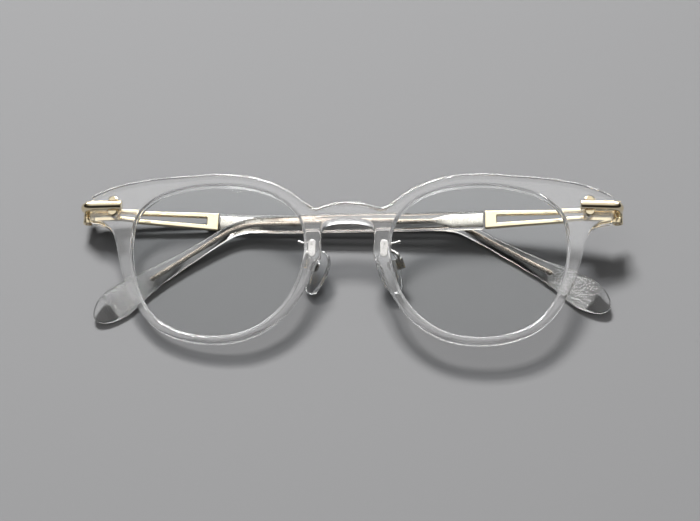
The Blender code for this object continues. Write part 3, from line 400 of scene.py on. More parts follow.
# %% Clear acetate and the grained paddles
ACETATE_TINT = (0.985, 0.985, 0.985)
ACETATE_INDEX = 1.49
ACETATE_CLEARNESS = 0.93
ACETATE_SHADE = ((0.82, 0.825, 0.83), (0.12, 0.125, 0.13))
ARM_SHADE = ((0.38, 0.38, 0.38), (0.05, 0.05, 0.05))
POLISH_ROUGHNESS = 0.03
WAVE_DEPTH = 0.01 * MM
WAVE_STRENGTH = 0.3
GRAIN_ROUGHNESS = 0.05
GRAIN_DEPTH = 1.2 * MM
ARM_ROUGHNESS = 0.01


def clear_acetate():
    """The front: polished, with a slow faint waviness."""
    material, tree, shader, output = clear_material(
        "polished_acetate", ACETATE_TINT, ACETATE_INDEX, ACETATE_CLEARNESS)
    polish = spread(tree, noise_on(tree, 900.0), 0.0, POLISH_ROUGHNESS)
    tree.links.new(polish, shader.inputs["Roughness"])
    add_bump(tree, shader, noise_on(tree, 60.0, 0.0), WAVE_DEPTH, WAVE_STRENGTH)
    let_lamps_through(tree, shader, output, *ACETATE_SHADE)
    return material


def grained_acetate():
    """The arms: as the front, with a fine grain in the paddles where the attribute says so."""
    material, tree, shader, output = clear_material("grained_acetate", ACETATE_TINT, ACETATE_INDEX, 1.0)
    grain_here = add_node(tree, "ShaderNodeAttribute", {"attribute_name": "grain"})
    haze = add_node(tree, "ShaderNodeMath", {"operation": "MULTIPLY_ADD"})
    tree.links.new(grain_here.outputs["Fac"], haze.inputs[0])
    haze.inputs[1].default_value = GRAIN_ROUGHNESS
    haze.inputs[2].default_value = ARM_ROUGHNESS
    tree.links.new(haze.outputs["Value"], shader.inputs["Roughness"])
    speckle = add_node(tree, "ShaderNodeMath", {"operation": "MULTIPLY"})
    tree.links.new(noise_on(tree, 1400.0, 2.0, 0.7), speckle.inputs[0])
    tree.links.new(grain_here.outputs["Fac"], speckle.inputs[1])
    add_bump(tree, shader, speckle.outputs["Value"], GRAIN_DEPTH)
    let_lamps_through(tree, shader, output, *ARM_SHADE)
    return material


# %% [markdown]
# ### Coated lenses
#
# The coating of a lens takes away nearly all of its reflection, which is why lenses almost
# vanish in the photograph. A low index does the same here: a faint sheen, and hardly any bend.


# %% Coated lenses
LENS_TINT = (0.94, 0.955, 0.955)
LENS_INDEX = 1.05
LENS_SHADE = ((0.88, 0.88, 0.88), (0.7, 0.7, 0.7))
LENS_ROUGHNESS = 0.012


def coated_lens():
    material, tree, shader, output = clear_material("coated_lens", LENS_TINT, LENS_INDEX, 1.0)
    smears = spread(tree, noise_on(tree, 300.0), 0.0, LENS_ROUGHNESS)
    tree.links.new(smears, shader.inputs["Roughness"])
    let_lamps_through(tree, shader, output, *LENS_SHADE)
    return material


# %% [markdown]
# ### Metal
#
# The hinges, bars and temple sections are plated in a pale champagne gold, and the nose pad
# hardware in a warm silver. Both have a fine satin polish: the roughness changes a little from
# place to place, and a faint waviness breaks up the reflections. The metal cores are plainer,
# with no waviness to speak of: pale where they are a wide blade, and painted dark where they
# are a wire behind it. That dark is painted shade, for the dark that the wire sees inside the
# arm. The two colours follow a point attribute instead of noise.


# %% Metal finishes
METAL_WAVE_DEPTH = 0.01 * MM
CORE_WAVE_DEPTH = 0.001 * MM
METAL_WAVE_STRENGTH = 0.5


def plated(name, colour, wear_and_shade_colour, rough_low, rough_high, waviness=METAL_WAVE_DEPTH, spread_by=None):
    """Plated metal: its second colour is wear spread by noise, or painted shade set by an attribute."""
    material, tree, shader, _ = new_material(name)
    shader.inputs["Metallic"].default_value = 1.0
    mix = add_node(tree, "ShaderNodeMix", {"data_type": "RGBA"})
    mix.inputs["A"].default_value = (*colour, 1.0)
    mix.inputs["B"].default_value = (*wear_and_shade_colour, 1.0)
    if spread_by is None:
        share = spread(tree, noise_on(tree, 250.0, 2.0), 0.0, 1.0)
    else:
        share = add_node(tree, "ShaderNodeAttribute", {"attribute_name": spread_by}).outputs["Fac"]
    tree.links.new(share, mix.inputs["Factor"])
    tree.links.new(mix.outputs["Result"], shader.inputs["Base Color"])
    satin = spread(tree, noise_on(tree, 1800.0), rough_low, rough_high)
    tree.links.new(satin, shader.inputs["Roughness"])
    add_bump(tree, shader, noise_on(tree, 500.0, 2.0), waviness, METAL_WAVE_STRENGTH)
    return material


# %% [markdown]
# ### Soft clear pads
#
# Nose pads are moulded in clear silicone. It is less glassy than acetate: light is spread a
# little inside it, and its surface is faintly matt.


# %% Soft clear pads
SILICONE_TINT = (0.95, 0.965, 0.97)
SILICONE_INDEX = 1.42
SILICONE_CLEARNESS = 0.96
SILICONE_SHADE = ((0.75, 0.76, 0.77), (0.35, 0.36, 0.37))
SILICONE_ROUGHNESS = (0.06, 0.14)
SILICONE_WAVE_DEPTH = 0.02 * MM


def clear_silicone():
    material, tree, shader, output = clear_material(
        "clear_silicone", SILICONE_TINT, SILICONE_INDEX, SILICONE_CLEARNESS)
    matt = spread(tree, noise_on(tree, 1200.0), *SILICONE_ROUGHNESS)
    tree.links.new(matt, shader.inputs["Roughness"])
    add_bump(tree, shader, noise_on(tree, 400.0, 1.0), SILICONE_WAVE_DEPTH, WAVE_STRENGTH)
    let_lamps_through(tree, shader, output, *SILICONE_SHADE)
    return material


ACETATE = clear_acetate()
GRAINED = grained_acetate()
LENS_GLASS = coated_lens()
GOLD = plated("champagne_gold", (0.93, 0.82, 0.60), (0.90, 0.77, 0.52), 0.10, 0.20)
SILVER = plated("warm_silver", (0.60, 0.59, 0.57), (0.50, 0.49, 0.47), 0.12, 0.20)
# The core's dark second colour is painted shade, for the dark that the wire sees inside the arm.
CORE_METAL_WITH_PAINTED_SHADE = plated("core_metal_with_painted_shade", (0.74, 0.70, 0.63), (0.13, 0.11, 0.09), 0.24, 0.36,
                    CORE_WAVE_DEPTH, spread_by="wire")
SILICONE = clear_silicone()
FINISHES = (ACETATE, GRAINED, LENS_GLASS, GOLD, SILVER, CORE_METAL_WITH_PAINTED_SHADE, SILICONE)
print("finishes:", ", ".join(material.name for material in FINISHES))

# %% [markdown]
# ## Curves that the pieces follow
#
# A frame maker draws an outline through a few points and smooths it. The same is done here: a
# smooth curve runs through each list of points, and `steps` says how finely it is divided.
# Clear plastic shows the facets of a coarse curve, so the steps are many.


# %% Curve helpers
def tangent(before, here, after, step_in, step_out):
    """How a smooth curve leaves a point, for uneven steps to its neighbours."""
    return ((here - before) / step_in - (after - before) / (step_in + step_out)
            + (after - here) / step_out)


def smooth_span(before, start, end, after, steps):
    """The points from start towards end on the curve through four points."""
    lengths = [math.sqrt((b - a).length) for a, b in ((before, start), (start, end), (end, after))]
    leave = tangent(before, start, end, lengths[0], lengths[1]) * lengths[1]
    arrive = tangent(start, end, after, lengths[1], lengths[2]) * lengths[1]
    shares = [step / steps for step in range(steps)]
    return [(2 * t ** 3 - 3 * t ** 2 + 1) * start + (t ** 3 - 2 * t ** 2 + t) * leave
            + (3 * t ** 2 - 2 * t ** 3) * end + (t ** 3 - t ** 2) * arrive for t in shares]


def smooth_loop(points, steps):
    """A closed smooth curve through the points."""
    count = len(points)
    loop = []
    for index in range(count):
        loop += smooth_span(*(Vector(points[(index + step) % count]) for step in (-1, 0, 1, 2)), steps)
    return loop


def open_curve(points, steps):
    """A smooth curve through the points, from the first to the last."""
    doubled = [points[0] * 2 - points[1]] + list(points) + [points[-1] * 2 - points[-2]]
    curve = []
    for index in range(len(points) - 1):
        curve += smooth_span(*doubled[index:index + 4], steps)
    return curve + [Vector(points[-1])]


def loop_normals(loop):
    """The directions into a loop that runs anticlockwise."""
    normals = []
    for index in range(len(loop)):
        along = (loop[(index + 1) % len(loop)] - loop[index - 1]).normalized()
        normals.append(Vector((-along.y, along.x)))
    return normals


def offset_loop(loop, distance):
    """The loop moved inwards by a distance."""
    return [point + normal * distance for point, normal in zip(loop, loop_normals(loop))]


def even_steps(start, end, count):
    """Evenly spaced values, with both ends."""
    return [start + (end - start) * step / count for step in range(count + 1)]


def ramp(value, start, end):
    """From 0 before start to 1 after end, smoothly."""
    share = min(max((value - start) / (end - start), 0.0), 1.0)
    return share * share * (3 - 2 * share)


# %% Mesh helpers
ROUND_STEPS = 6
TURNED_SIDES = 48
BORE_SIDES = 32
SMALL_SIDES = 24


def add_rings(mesh_data, rings):
    """Join rings of equal count into a skin, and return the first and last ring's vertices."""
    made = [[mesh_data.verts.new(point) for point in ring] for ring in rings]
    for lower, upper in zip(made[:-1], made[1:]):
        for index in range(len(lower)):
            mesh_data.faces.new((lower[index - 1], lower[index], upper[index], upper[index - 1]))
    return made[0], made[-1]


def solid_from_rings(rings):
    """A skin over the rings, closed with a flat face at each end."""
    mesh_data = bmesh.new()
    first, last = add_rings(mesh_data, rings)
    mesh_data.faces.new(first)
    mesh_data.faces.new(last[::-1])
    return mesh_data


def solid_with_poles(rings, first_pole, last_pole):
    """A skin over the rings, closed with a fan round a point at each end."""
    mesh_data = bmesh.new()
    for ring, point in zip(add_rings(mesh_data, rings), (first_pole, last_pole)):
        pole = mesh_data.verts.new(point)
        for index in range(len(ring)):
            mesh_data.faces.new((ring[index - 1], ring[index], pole))
    return mesh_data


def shrunk_ring(outline, centre, share, height):
    """The outline drawn smaller round a centre, at a height."""
    return [Vector((centre.x + (point.x - centre.x) * share,
                    centre.y + (point.y - centre.y) * share, height)) for point in outline]


def plate_with_holes(outer, holes, outer_profile, hole_profile):
    """A plate between outlines: each profile lists (distance into the plate, height) pairs."""
    mesh_data = bmesh.new()
    edges = ([], [])
    borders = [(outer, 1.0, outer_profile)] + [(hole, -1.0, hole_profile) for hole in holes]
    for loop, sign, profile in borders:
        rings = [[Vector((point.x, point.y, height)) for point in offset_loop(loop, sign * inset)]
                 for inset, height in profile]
        for side, ring in zip(edges, add_rings(mesh_data, rings)):
            side += [mesh_data.edges.get((ring[index - 1], ring[index])) for index in range(len(ring))]
    for side in edges:
        bmesh.ops.triangle_fill(mesh_data, use_beauty=True, use_dissolve=False, edges=side)
    return mesh_data


def rounded_profile(edge, thickness, middle=(), segments=ROUND_STEPS):
    """The edge of a plate from its front face at 0 down to its back face."""
    front = []
    for step in range(segments + 1):
        angle = math.radians(90 * step / segments)
        front.append((edge * (1 - math.sin(angle)), -edge * (1 - math.cos(angle))))
    return front + list(middle) + [(inset, -thickness - height) for inset, height in front[::-1]]


def moved(mesh_data, matrix):
    bmesh.ops.transform(mesh_data, verts=mesh_data.verts, matrix=matrix)
    return mesh_data


def cylinder(radius, start, end, sides=TURNED_SIDES):
    """A closed cylinder between two points."""
    mesh_data = bmesh.new()
    axis = end - start
    bmesh.ops.create_cone(mesh_data, cap_ends=True, segments=sides, radius1=radius, radius2=radius,
                          depth=axis.length)
    turn = axis.to_track_quat("Z", "Y").to_matrix().to_4x4()
    return moved(mesh_data, Matrix.Translation((start + end) / 2) @ turn)


def bevel_edges(mesh_data, edges, width):
    bmesh.ops.bevel(mesh_data, geom=edges, offset=width, offset_type="OFFSET", segments=3, profile=0.5,
                    affect="EDGES")


def block(low, high, edge=0.0):
    """A box, with its edges rounded where an edge radius is given."""
    mesh_data = bmesh.new()
    bmesh.ops.create_cube(mesh_data, size=1.0)
    moved(mesh_data, Matrix.Translation((low + high) / 2) @ Matrix.Diagonal((*(high - low), 1.0)))
    if edge > 0:
        bevel_edges(mesh_data, mesh_data.edges, edge)
    return mesh_data


def joined(*parts):
    """Several meshes in one, each closed by itself."""
    whole = bmesh.new()
    for part in parts:
        mesh = bpy.data.meshes.new("part_of_piece")
        part.to_mesh(mesh)
        part.free()
        whole.from_mesh(mesh)
        bpy.data.meshes.remove(mesh)
    return whole


# %% [markdown]
# ## Putting a piece in its place
#
# Every piece is drawn in plain coordinates of its own, cut where it has seats or slots, and
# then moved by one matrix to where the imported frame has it. Its flat faces keep flat shading
# up to their round edges, through normals weighted by face area, because a wavering normal
# shows at once in glass and polished metal. The front gets its normals from its own drawing.


# %% The piece maker
SHARP_ANGLE = math.radians(35.0)
NORMAL_WEIGHT = 80


def temporary_object(mesh_data, name="cutter"):
    """An object to cut or be cut. Its mesh data is used up."""
    mesh = bpy.data.meshes.new(name)
    bmesh.ops.recalc_face_normals(mesh_data, faces=mesh_data.faces)
    mesh_data.to_mesh(mesh)
    mesh_data.free()
    item = bpy.data.objects.new(name, mesh)
    bpy.context.scene.collection.objects.link(item)
    return item


def plain_mesh(item):
    """The object's mesh with its modifiers applied."""
    bpy.context.view_layer.update()
    return bpy.data.meshes.new_from_object(item.evaluated_get(bpy.context.evaluated_depsgraph_get()))


def cut_mesh(mesh_data, cuts, crossing=False):
    """The mesh less the cuts. A mesh whose own parts cross each other says so."""
    item = temporary_object(mesh_data, "uncut")
    cutters = [temporary_object(cut) for cut in cuts]
    for cutter in cutters:
        modifier = item.modifiers.new("cut", "BOOLEAN")
        modifier.operation = "DIFFERENCE"
        modifier.solver = "EXACT"
        modifier.use_self = crossing
        modifier.object = cutter
    mesh = plain_mesh(item)
    for thing in [item] + cutters:
        bpy.data.objects.remove(thing, do_unlink=True)
    return mesh


def weight_normals(item):
    """Let the larger faces at a point decide its normal."""
    modifier = item.modifiers.new("weighted_normals", "WEIGHTED_NORMAL")
    modifier.keep_sharp = True
    modifier.weight = NORMAL_WEIGHT
    mesh = plain_mesh(item)
    item.modifiers.clear()
    item.data = mesh


def place_piece(name, mesh, matrix, material, body, nodes, own_normals=False):
    """Move a mesh to its place on the table and hand it to the frame."""
    mesh.name = name
    mesh.transform(matrix)
    if matrix.determinant() < 0:
        mesh.flip_normals()
    mesh.materials.clear()
    mesh.materials.append(material)
    item = bpy.data.objects.new(name, mesh)
    bpy.context.scene.collection.objects.link(item)
    if not own_normals:
        mesh.shade_smooth()
        mesh.set_sharp_from_angle(angle=SHARP_ANGLE)
        weight_normals(item)
    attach(item, body)
    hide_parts(*nodes)
    return item


def count_faces(name, item):
    print(f"{name}: {len(item.data.polygons)} faces")
    return item


# %% [markdown]
# ## The front
#
# On the real frame the front is milled from one sheet of clear acetate: two lens openings with
# a groove inside each rim, a bridge between them, and an end piece on each side that carries
# the hinge. The outline is one smooth curve. It is offset inwards for the round edges, so the
# rims have the same soft edge all round, and the groove is part of the openings' edge.

# %% Sizes of the front
RIM_WIDTH = 3.4 * MM
FRONT_EDGE = 0.8 * MM
BRIDGE_TOP = 0.7 * MM
BRIDGE_BOTTOM = 5.0 * MM
NOTCH_X = NOSE_GAP / 2 - 2.9 * MM
NOTCH_Y = 0.9 * MM
BROW_BULGE = 1.4 * MM
NOSE_SIDE_X = NOSE_GAP / 2 - 4.4 * MM
END_TOP = 3.2 * MM
END_BOTTOM = 4.7 * MM
END_CORNER = 1.2 * MM
GROOVE_DEPTH = 0.8 * MM
GROOVE_HALF = 0.9 * MM
GROOVE_SLOPE = 0.15 * MM
LENS_SHARES = (
    (-1.0, 0.17), (-0.92, 0.555), (-0.70, 0.805), (-0.40, 0.945),
    (0.0, 1.0), (0.40, 0.962), (0.73, 0.84), (0.945, 0.61),
    (1.0, 0.28), (0.95, -0.17), (0.80, -0.575), (0.56, -0.845),
    (0.13, -1.0), (-0.36, -0.945), (-0.70, -0.69), (-0.90, -0.35),
)
TOP_RIM_SHARES = {2: 1.0, 3: 1.0, 4: 1.0, 5: 1.12}
LOW_RIM_SHARES = {8: 1.45, 9: 0.98, 10: 0.72, 11: 0.64, 12: 0.58, 13: 0.6, 14: 0.7, 15: 0.82}
NOSE_SHARES = ((1.0, 0.537), (1.0, 0.254), (0.97, 0.127), (0.82, 0.048), (0.45, 0.009))
NOSE_START_SHARES = (0.3, 0.627)


# %% The outlines of the front
def lens_centre():
    """The middle of the right opening."""
    return Vector(((NOSE_GAP + LENS_WIDTH) / 2, -LENS_DROP))


def lens_controls():
    """The opening's points, from the nose over the top."""
    centre = lens_centre()
    return [Vector((centre.x + x * LENS_WIDTH / 2, centre.y + y * LENS_HEIGHT / 2))
            for x, y in LENS_SHARES]


def lens_loop(steps):
    """The edge of the right opening, anticlockwise."""
    return smooth_loop(lens_controls()[::-1], steps)


def rim_point(index, share):
    """A point of the rim's outer edge, square to the opening at one of its points."""
    controls = lens_controls()
    along = (controls[(index + 1) % len(controls)] - controls[index - 1]).normalized()
    return controls[index] + Vector((-along.y, along.x)) * RIM_WIDTH * share


def end_piece_points(brow, low):
    """Round the end piece, from the brow to the start of the low rim."""
    corner = Vector((END_X, END_TOP))
    return [
        brow.lerp(corner, 0.35) + Vector((0, BROW_BULGE * 0.85)),
        brow.lerp(corner, 0.7) + Vector((0, BROW_BULGE)),
        Vector((END_X - END_CORNER, END_TOP + END_CORNER * 0.35)),
        Vector((END_X - END_CORNER * 0.25, END_TOP - END_CORNER * 0.3)),
        Vector((END_X, END_TOP - END_CORNER)),
        Vector((END_X - END_CORNER * 0.35, -END_BOTTOM + END_CORNER)),
        Vector((END_X - END_CORNER * 0.75, -END_BOTTOM + END_CORNER * 0.25)),
        Vector((END_X - END_CORNER * 1.6, -END_BOTTOM)),
        Vector((END_X - END_CORNER * 3.6, -END_BOTTOM - END_CORNER * 0.45)),
        Vector((low.x + END_CORNER * 0.9, (low.y - END_BOTTOM) / 2)),
    ]


def right_outline():
    """The outer edge of the right half, from the top of the bridge to its underside."""
    top_rim = [rim_point(index, share) for index, share in TOP_RIM_SHARES.items()]
    low_rim = [rim_point(index, share) for index, share in LOW_RIM_SHARES.items()]
    bridge = [Vector((NOTCH_X / 2, BRIDGE_TOP * 0.45)), Vector((NOTCH_X * 0.78, -NOTCH_Y * 0.5)),
              Vector((NOTCH_X, -NOTCH_Y)), Vector((NOTCH_X * 1.2, -NOTCH_Y * 0.45))]
    side_share, height_share = NOSE_START_SHARES
    fall = low_rim[-1].y + BRIDGE_BOTTOM
    nose = [Vector((NOSE_SIDE_X + (low_rim[-1].x - NOSE_SIDE_X) * side_share,
                    fall * height_share - BRIDGE_BOTTOM))]
    nose += [Vector((NOSE_SIDE_X * across, fall * down - BRIDGE_BOTTOM)) for across, down in NOSE_SHARES]
    return bridge + top_rim + end_piece_points(top_rim[-1], low_rim[0]) + low_rim + nose


def front_outline(steps):
    """The whole outer edge of the front, anticlockwise from the top of the bridge."""
    right = right_outline()
    left = [Vector((-point.x, point.y)) for point in right]
    top = Vector((0.0, BRIDGE_TOP))
    bottom = Vector((0.0, -BRIDGE_BOTTOM))
    return smooth_loop([top] + left + [bottom] + right[::-1], steps)


# %% [markdown]
# ### The hinge bars and their seats
#
# A gold rod lies across each end piece, sunk halfway into the acetate, and turns round its end
# to the hinge. A rod is a shape that follows a path, so Geometry Nodes make it: a circle is
# swept along a curve. The tree's named inputs are its radius, its sides and its metal.

# %% The path of a hinge bar
BAR_RADIUS = 1.2 * MM
BAR_INNER_X = END_X - BAR_LENGTH
BAR_PROUD = 0.4 * MM
BAR_TURN = 2.3 * MM
BAR_END_ROUND = 0.3 * MM
RIVET_X = END_X - 6.65 * MM
KNUCKLE_RADIUS = 1.4 * MM


def bar_path(turn_steps=14):
    """Along the face, then round the end of the front to the hinge."""
    corner_x = END_X + FIT_GAP + BAR_RADIUS
    path = [Vector((BAR_INNER_X, 0.0, BAR_PROUD)), Vector((RIVET_X, 0.0, BAR_PROUD))]
    for angle in even_steps(0.0, math.pi / 2, turn_steps):
        path.append(Vector((corner_x - BAR_TURN + BAR_TURN * math.sin(angle), 0.0,
                            BAR_PROUD - BAR_TURN + BAR_TURN * math.cos(angle))))
    path.append(Vector((corner_x, 0.0, hinge_height() + KNUCKLE_RADIUS + FIT_GAP)))
    return path


# %% Rods along a path
def new_tree(name):
    """A node tree with its input and output."""
    tree = bpy.data.node_groups.new(name, "GeometryNodeTree")
    tree.interface.new_socket("Geometry", in_out="INPUT", socket_type="NodeSocketGeometry")
    tree.interface.new_socket("Geometry", in_out="OUTPUT", socket_type="NodeSocketGeometry")
    return tree, tree.nodes.new("NodeGroupInput"), tree.nodes.new("NodeGroupOutput")


def add_input(tree, name, kind):
    tree.interface.new_socket(name, in_out="INPUT", socket_type=f"NodeSocket{kind}")


def set_inputs(modifier, values):
    """Set a modifier's inputs: each has a name for people and an identifier for the program."""
    for socket in modifier.node_group.interface.items_tree:
        if socket.item_type == "SOCKET" and socket.in_out == "INPUT" and socket.name in values:
            modifier[socket.identifier] = values[socket.name]


def end_tree(tree, source, result, shape):
    """The end of every tree: instances are made real, and the metal is set."""
    realize = tree.nodes.new("GeometryNodeRealizeInstances")
    paint = tree.nodes.new("GeometryNodeSetMaterial")
    tree.links.new(shape, realize.inputs["Geometry"])
    tree.links.new(realize.outputs["Geometry"], paint.inputs["Geometry"])
    tree.links.new(source.outputs["Metal"], paint.inputs["Material"])
    tree.links.new(paint.outputs["Geometry"], result.inputs["Geometry"])


def rod_tree():
    """A circle swept along a curve, thinner where the curve's own radius says so."""
    tree, source, result = new_tree("rod_along_path")
    for name, kind in (("Rod Radius", "Float"), ("Sides", "Int"), ("Metal", "Material")):
        add_input(tree, name, kind)
    circle = tree.nodes.new("GeometryNodeCurvePrimitiveCircle")
    sweep = tree.nodes.new("GeometryNodeCurveToMesh")
    sweep.inputs["Fill Caps"].default_value = True
    if "Scale" in sweep.inputs:
        thickness = tree.nodes.new("GeometryNodeInputRadius")
        tree.links.new(thickness.outputs["Radius"], sweep.inputs["Scale"])
    tree.links.new(source.outputs["Geometry"], sweep.inputs["Curve"])
    tree.links.new(source.outputs["Rod Radius"], circle.inputs["Radius"])
    tree.links.new(source.outputs["Sides"], circle.inputs["Resolution"])
    tree.links.new(circle.outputs["Curve"], sweep.inputs["Profile Curve"])
    end_tree(tree, source, result, sweep.outputs["Mesh"])
    return tree


ROD_TREE = rod_tree()
WELD_DISTANCE = 0.001 * MM


def softened_path(points, radius, end_round, steps=4):
    """The path with its thickness: full along it, and a quarter round at each end."""
    length = (points[1] - points[0]).length
    last = (points[-1] - points[-2]).length
    arc = [(end_round * (1 - math.cos(angle)), 1 - end_round / radius * (1 - math.sin(angle)))
           for angle in even_steps(0.0, math.pi / 2, steps)]
    start = [(points[0].lerp(points[1], along / length), share) for along, share in arc]
    end = [(points[-1].lerp(points[-2], along / last), share) for along, share in arc]
    return start + [(point, 1.0) for point in points[1:-1]] + end[::-1]


def sweep_rod(path, radius, metal, sides=32):
    """A rod from a list of (point, thickness share), as a plain mesh."""
    data = bpy.data.curves.new("rod_path", "CURVE")
    data.dimensions = "3D"
    spline = data.splines.new("POLY")
    spline.points.add(len(path) - 1)
    for point, (place, share) in zip(spline.points, path):
        point.co = (*place, 1.0)
        point.radius = share
    item = bpy.data.objects.new("rod_path", data)
    bpy.context.scene.collection.objects.link(item)
    modifier = item.modifiers.new("rod", "NODES")
    modifier.node_group = ROD_TREE
    set_inputs(modifier, {"Rod Radius": radius, "Sides": sides, "Metal": metal})
    mesh = plain_mesh(item)
    bpy.data.objects.remove(item, do_unlink=True)
    welded = bmesh.new()
    welded.from_mesh(mesh)
    bmesh.ops.remove_doubles(welded, verts=welded.verts, dist=WELD_DISTANCE)
    bmesh.ops.recalc_face_normals(welded, faces=welded.faces)
    welded.to_mesh(mesh)
    welded.free()
    return mesh


def to_bmesh(mesh):
    """A mesh as mesh data, to be joined or cut again."""
    mesh_data = bmesh.new()
    mesh_data.from_mesh(mesh)
    bpy.data.meshes.remove(mesh)
    return mesh_data


# %% [markdown]
# ### Rivets and screws
#
# Two rivets with round heads hold each bar, one above it and one below. One small tree makes
# every turned fastener of the pair: a shank, and a head whose top face is drawn up and in to a
# soft edge. It is set on points that carry the direction of the fastener. A screw has a slot
# cut in its head, and a rivet's shank stands a little aside, clear of the bar.


# %% Fasteners
HEAD_SIDES = 40
SHANK_MIDDLE_SHARE = -0.499


def fastener_tree(slotted):
    tree, source, result = new_tree("slotted_screws" if slotted else "plain_rivets")
    names = ["Head Radius", "Head Height", "Soft Edge", "Shank Radius", "Shank Length"]
    names += ["Slot Width", "Slot Depth"] if slotted else ["Shank Shift"]
    for name in names:
        add_input(tree, name, "Float")
    add_input(tree, "Metal", "Material")
    wire = tree.links.new

    def maths(operation, first, second):
        node = add_node(tree, "ShaderNodeMath", {"operation": operation})
        for socket, value in zip(node.inputs, (first, second)):
            if isinstance(value, (int, float)):
                socket.default_value = value
            else:
                wire(value, socket)
        return node.outputs[0]

    def lifted(mesh, height, aside=None):
        place = tree.nodes.new("ShaderNodeCombineXYZ")
        wire(height, place.inputs["Z"])
        if aside is not None:
            wire(aside, place.inputs["Y"])
        move = tree.nodes.new("GeometryNodeTransform")
        wire(mesh, move.inputs["Geometry"])
        wire(place.outputs["Vector"], move.inputs["Translation"])
        return move.outputs["Geometry"]

    straight = maths("SUBTRACT", source.outputs["Head Height"], source.outputs["Soft Edge"])
    head = add_node(tree, "GeometryNodeMeshCylinder", Vertices=HEAD_SIDES)
    wire(source.outputs["Head Radius"], head.inputs["Radius"])
    wire(straight, head.inputs["Depth"])
    raised = tree.nodes.new("GeometryNodeExtrudeMesh")
    wire(head.outputs["Mesh"], raised.inputs["Mesh"])
    wire(head.outputs["Top"], raised.inputs["Selection"])
    wire(source.outputs["Soft Edge"], raised.inputs["Offset Scale"])
    drawn_in = tree.nodes.new("GeometryNodeScaleElements")
    wire(raised.outputs["Mesh"], drawn_in.inputs["Geometry"])
    wire(raised.outputs["Top"], drawn_in.inputs["Selection"])
    less = maths("DIVIDE", source.outputs["Soft Edge"], source.outputs["Head Radius"])
    wire(maths("SUBTRACT", 1.0, less), drawn_in.inputs["Scale"])
    shape = lifted(drawn_in.outputs["Geometry"], maths("MULTIPLY", straight, 0.5))
    if slotted:
        slot = tree.nodes.new("GeometryNodeMeshCube")
        size = tree.nodes.new("ShaderNodeCombineXYZ")
        wire(maths("MULTIPLY", source.outputs["Head Radius"], 3.0), size.inputs["X"])
        wire(source.outputs["Slot Width"], size.inputs["Y"])
        wire(maths("MULTIPLY", source.outputs["Slot Depth"], 2.0), size.inputs["Z"])
        wire(size.outputs["Vector"], slot.inputs["Size"])
        cut = add_node(tree, "GeometryNodeMeshBoolean", {"operation": "DIFFERENCE"})
        wire(shape, cut.inputs["Mesh 1"])
        wire(lifted(slot.outputs["Mesh"], source.outputs["Head Height"]), cut.inputs["Mesh 2"])
        shape = cut.outputs["Mesh"]
    shank = add_node(tree, "GeometryNodeMeshCylinder", Vertices=SMALL_SIDES)
    wire(source.outputs["Shank Radius"], shank.inputs["Radius"])
    wire(source.outputs["Shank Length"], shank.inputs["Depth"])
    whole = tree.nodes.new("GeometryNodeJoinGeometry")
    wire(shape, whole.inputs["Geometry"])
    aside = None if slotted else source.outputs["Shank Shift"]
    below = maths("MULTIPLY", source.outputs["Shank Length"], SHANK_MIDDLE_SHARE)
    wire(lifted(shank.outputs["Mesh"], below, aside), whole.inputs["Geometry"])
    place_on_points(tree, source, result, whole.outputs["Geometry"])
    return tree


def place_on_points(tree, source, result, shape):
    """Set the shape on each point, along the direction that the point carries."""
    axis = add_node(tree, "GeometryNodeInputNamedAttribute", {"data_type": "FLOAT_VECTOR"}, Name="axis")
    turn = add_node(tree, "FunctionNodeAlignRotationToVector", {"axis": "Z"})
    spots = tree.nodes.new("GeometryNodeInstanceOnPoints")
    tree.links.new(axis.outputs["Attribute"], turn.inputs["Vector"])
    tree.links.new(source.outputs["Geometry"], spots.inputs["Points"])
    tree.links.new(shape, spots.inputs["Instance"])
    tree.links.new(turn.outputs["Rotation"], spots.inputs["Rotation"])
    end_tree(tree, source, result, spots.outputs["Instances"])


RIVET_TREE = fastener_tree(slotted=False)
SCREW_TREE = fastener_tree(slotted=True)


def make_fasteners(tree, spots, sizes):
    """Fasteners on (point, direction) pairs, as a plain mesh."""
    mesh = bpy.data.meshes.new("fastener_points")
    mesh.from_pydata([place for place, _ in spots], [], [])
    axes = mesh.attributes.new("axis", "FLOAT_VECTOR", "POINT")
    for value, (_, direction) in zip(axes.data, spots):
        value.vector = direction
    item = bpy.data.objects.new("fastener_points", mesh)
    bpy.context.scene.collection.objects.link(item)
    modifier = item.modifiers.new("fasteners", "NODES")
    modifier.node_group = tree
    set_inputs(modifier, sizes)
    result = plain_mesh(item)
    bpy.data.objects.remove(item, do_unlink=True)
    return result


# %% Sizes of the rivets
RIVET_HEAD_Y = 1.4 * MM
RIVET_HEAD_RADIUS = 1.35 * MM
RIVET_HEAD_PROUD = 0.35 * MM
RIVET_SHANK_Y = 2.25 * MM
RIVET_SHANK_RADIUS = 0.35 * MM
RIVET_SIZES = {"Head Radius": RIVET_HEAD_RADIUS, "Head Height": 2 * RIVET_HEAD_PROUD,
               "Soft Edge": 0.2 * MM, "Shank Radius": RIVET_SHANK_RADIUS,
               "Shank Length": FRONT_THICKNESS - RIVET_HEAD_PROUD, "Metal": GOLD}


def make_rivet(level):
    """The rivet above (1) or below (-1) the bar, cut round where the bar passes."""
    spot = (Vector((RIVET_X, level * RIVET_HEAD_Y, -RIVET_HEAD_PROUD)), Vector((0.0, 0.0, 1.0)))
    sizes = {**RIVET_SIZES, "Shank Shift": level * (RIVET_SHANK_Y - RIVET_HEAD_Y)}
    rivet = to_bmesh(make_fasteners(RIVET_TREE, [spot], sizes))
    return to_bmesh(cut_mesh(rivet, [bar_seat()], crossing=True))


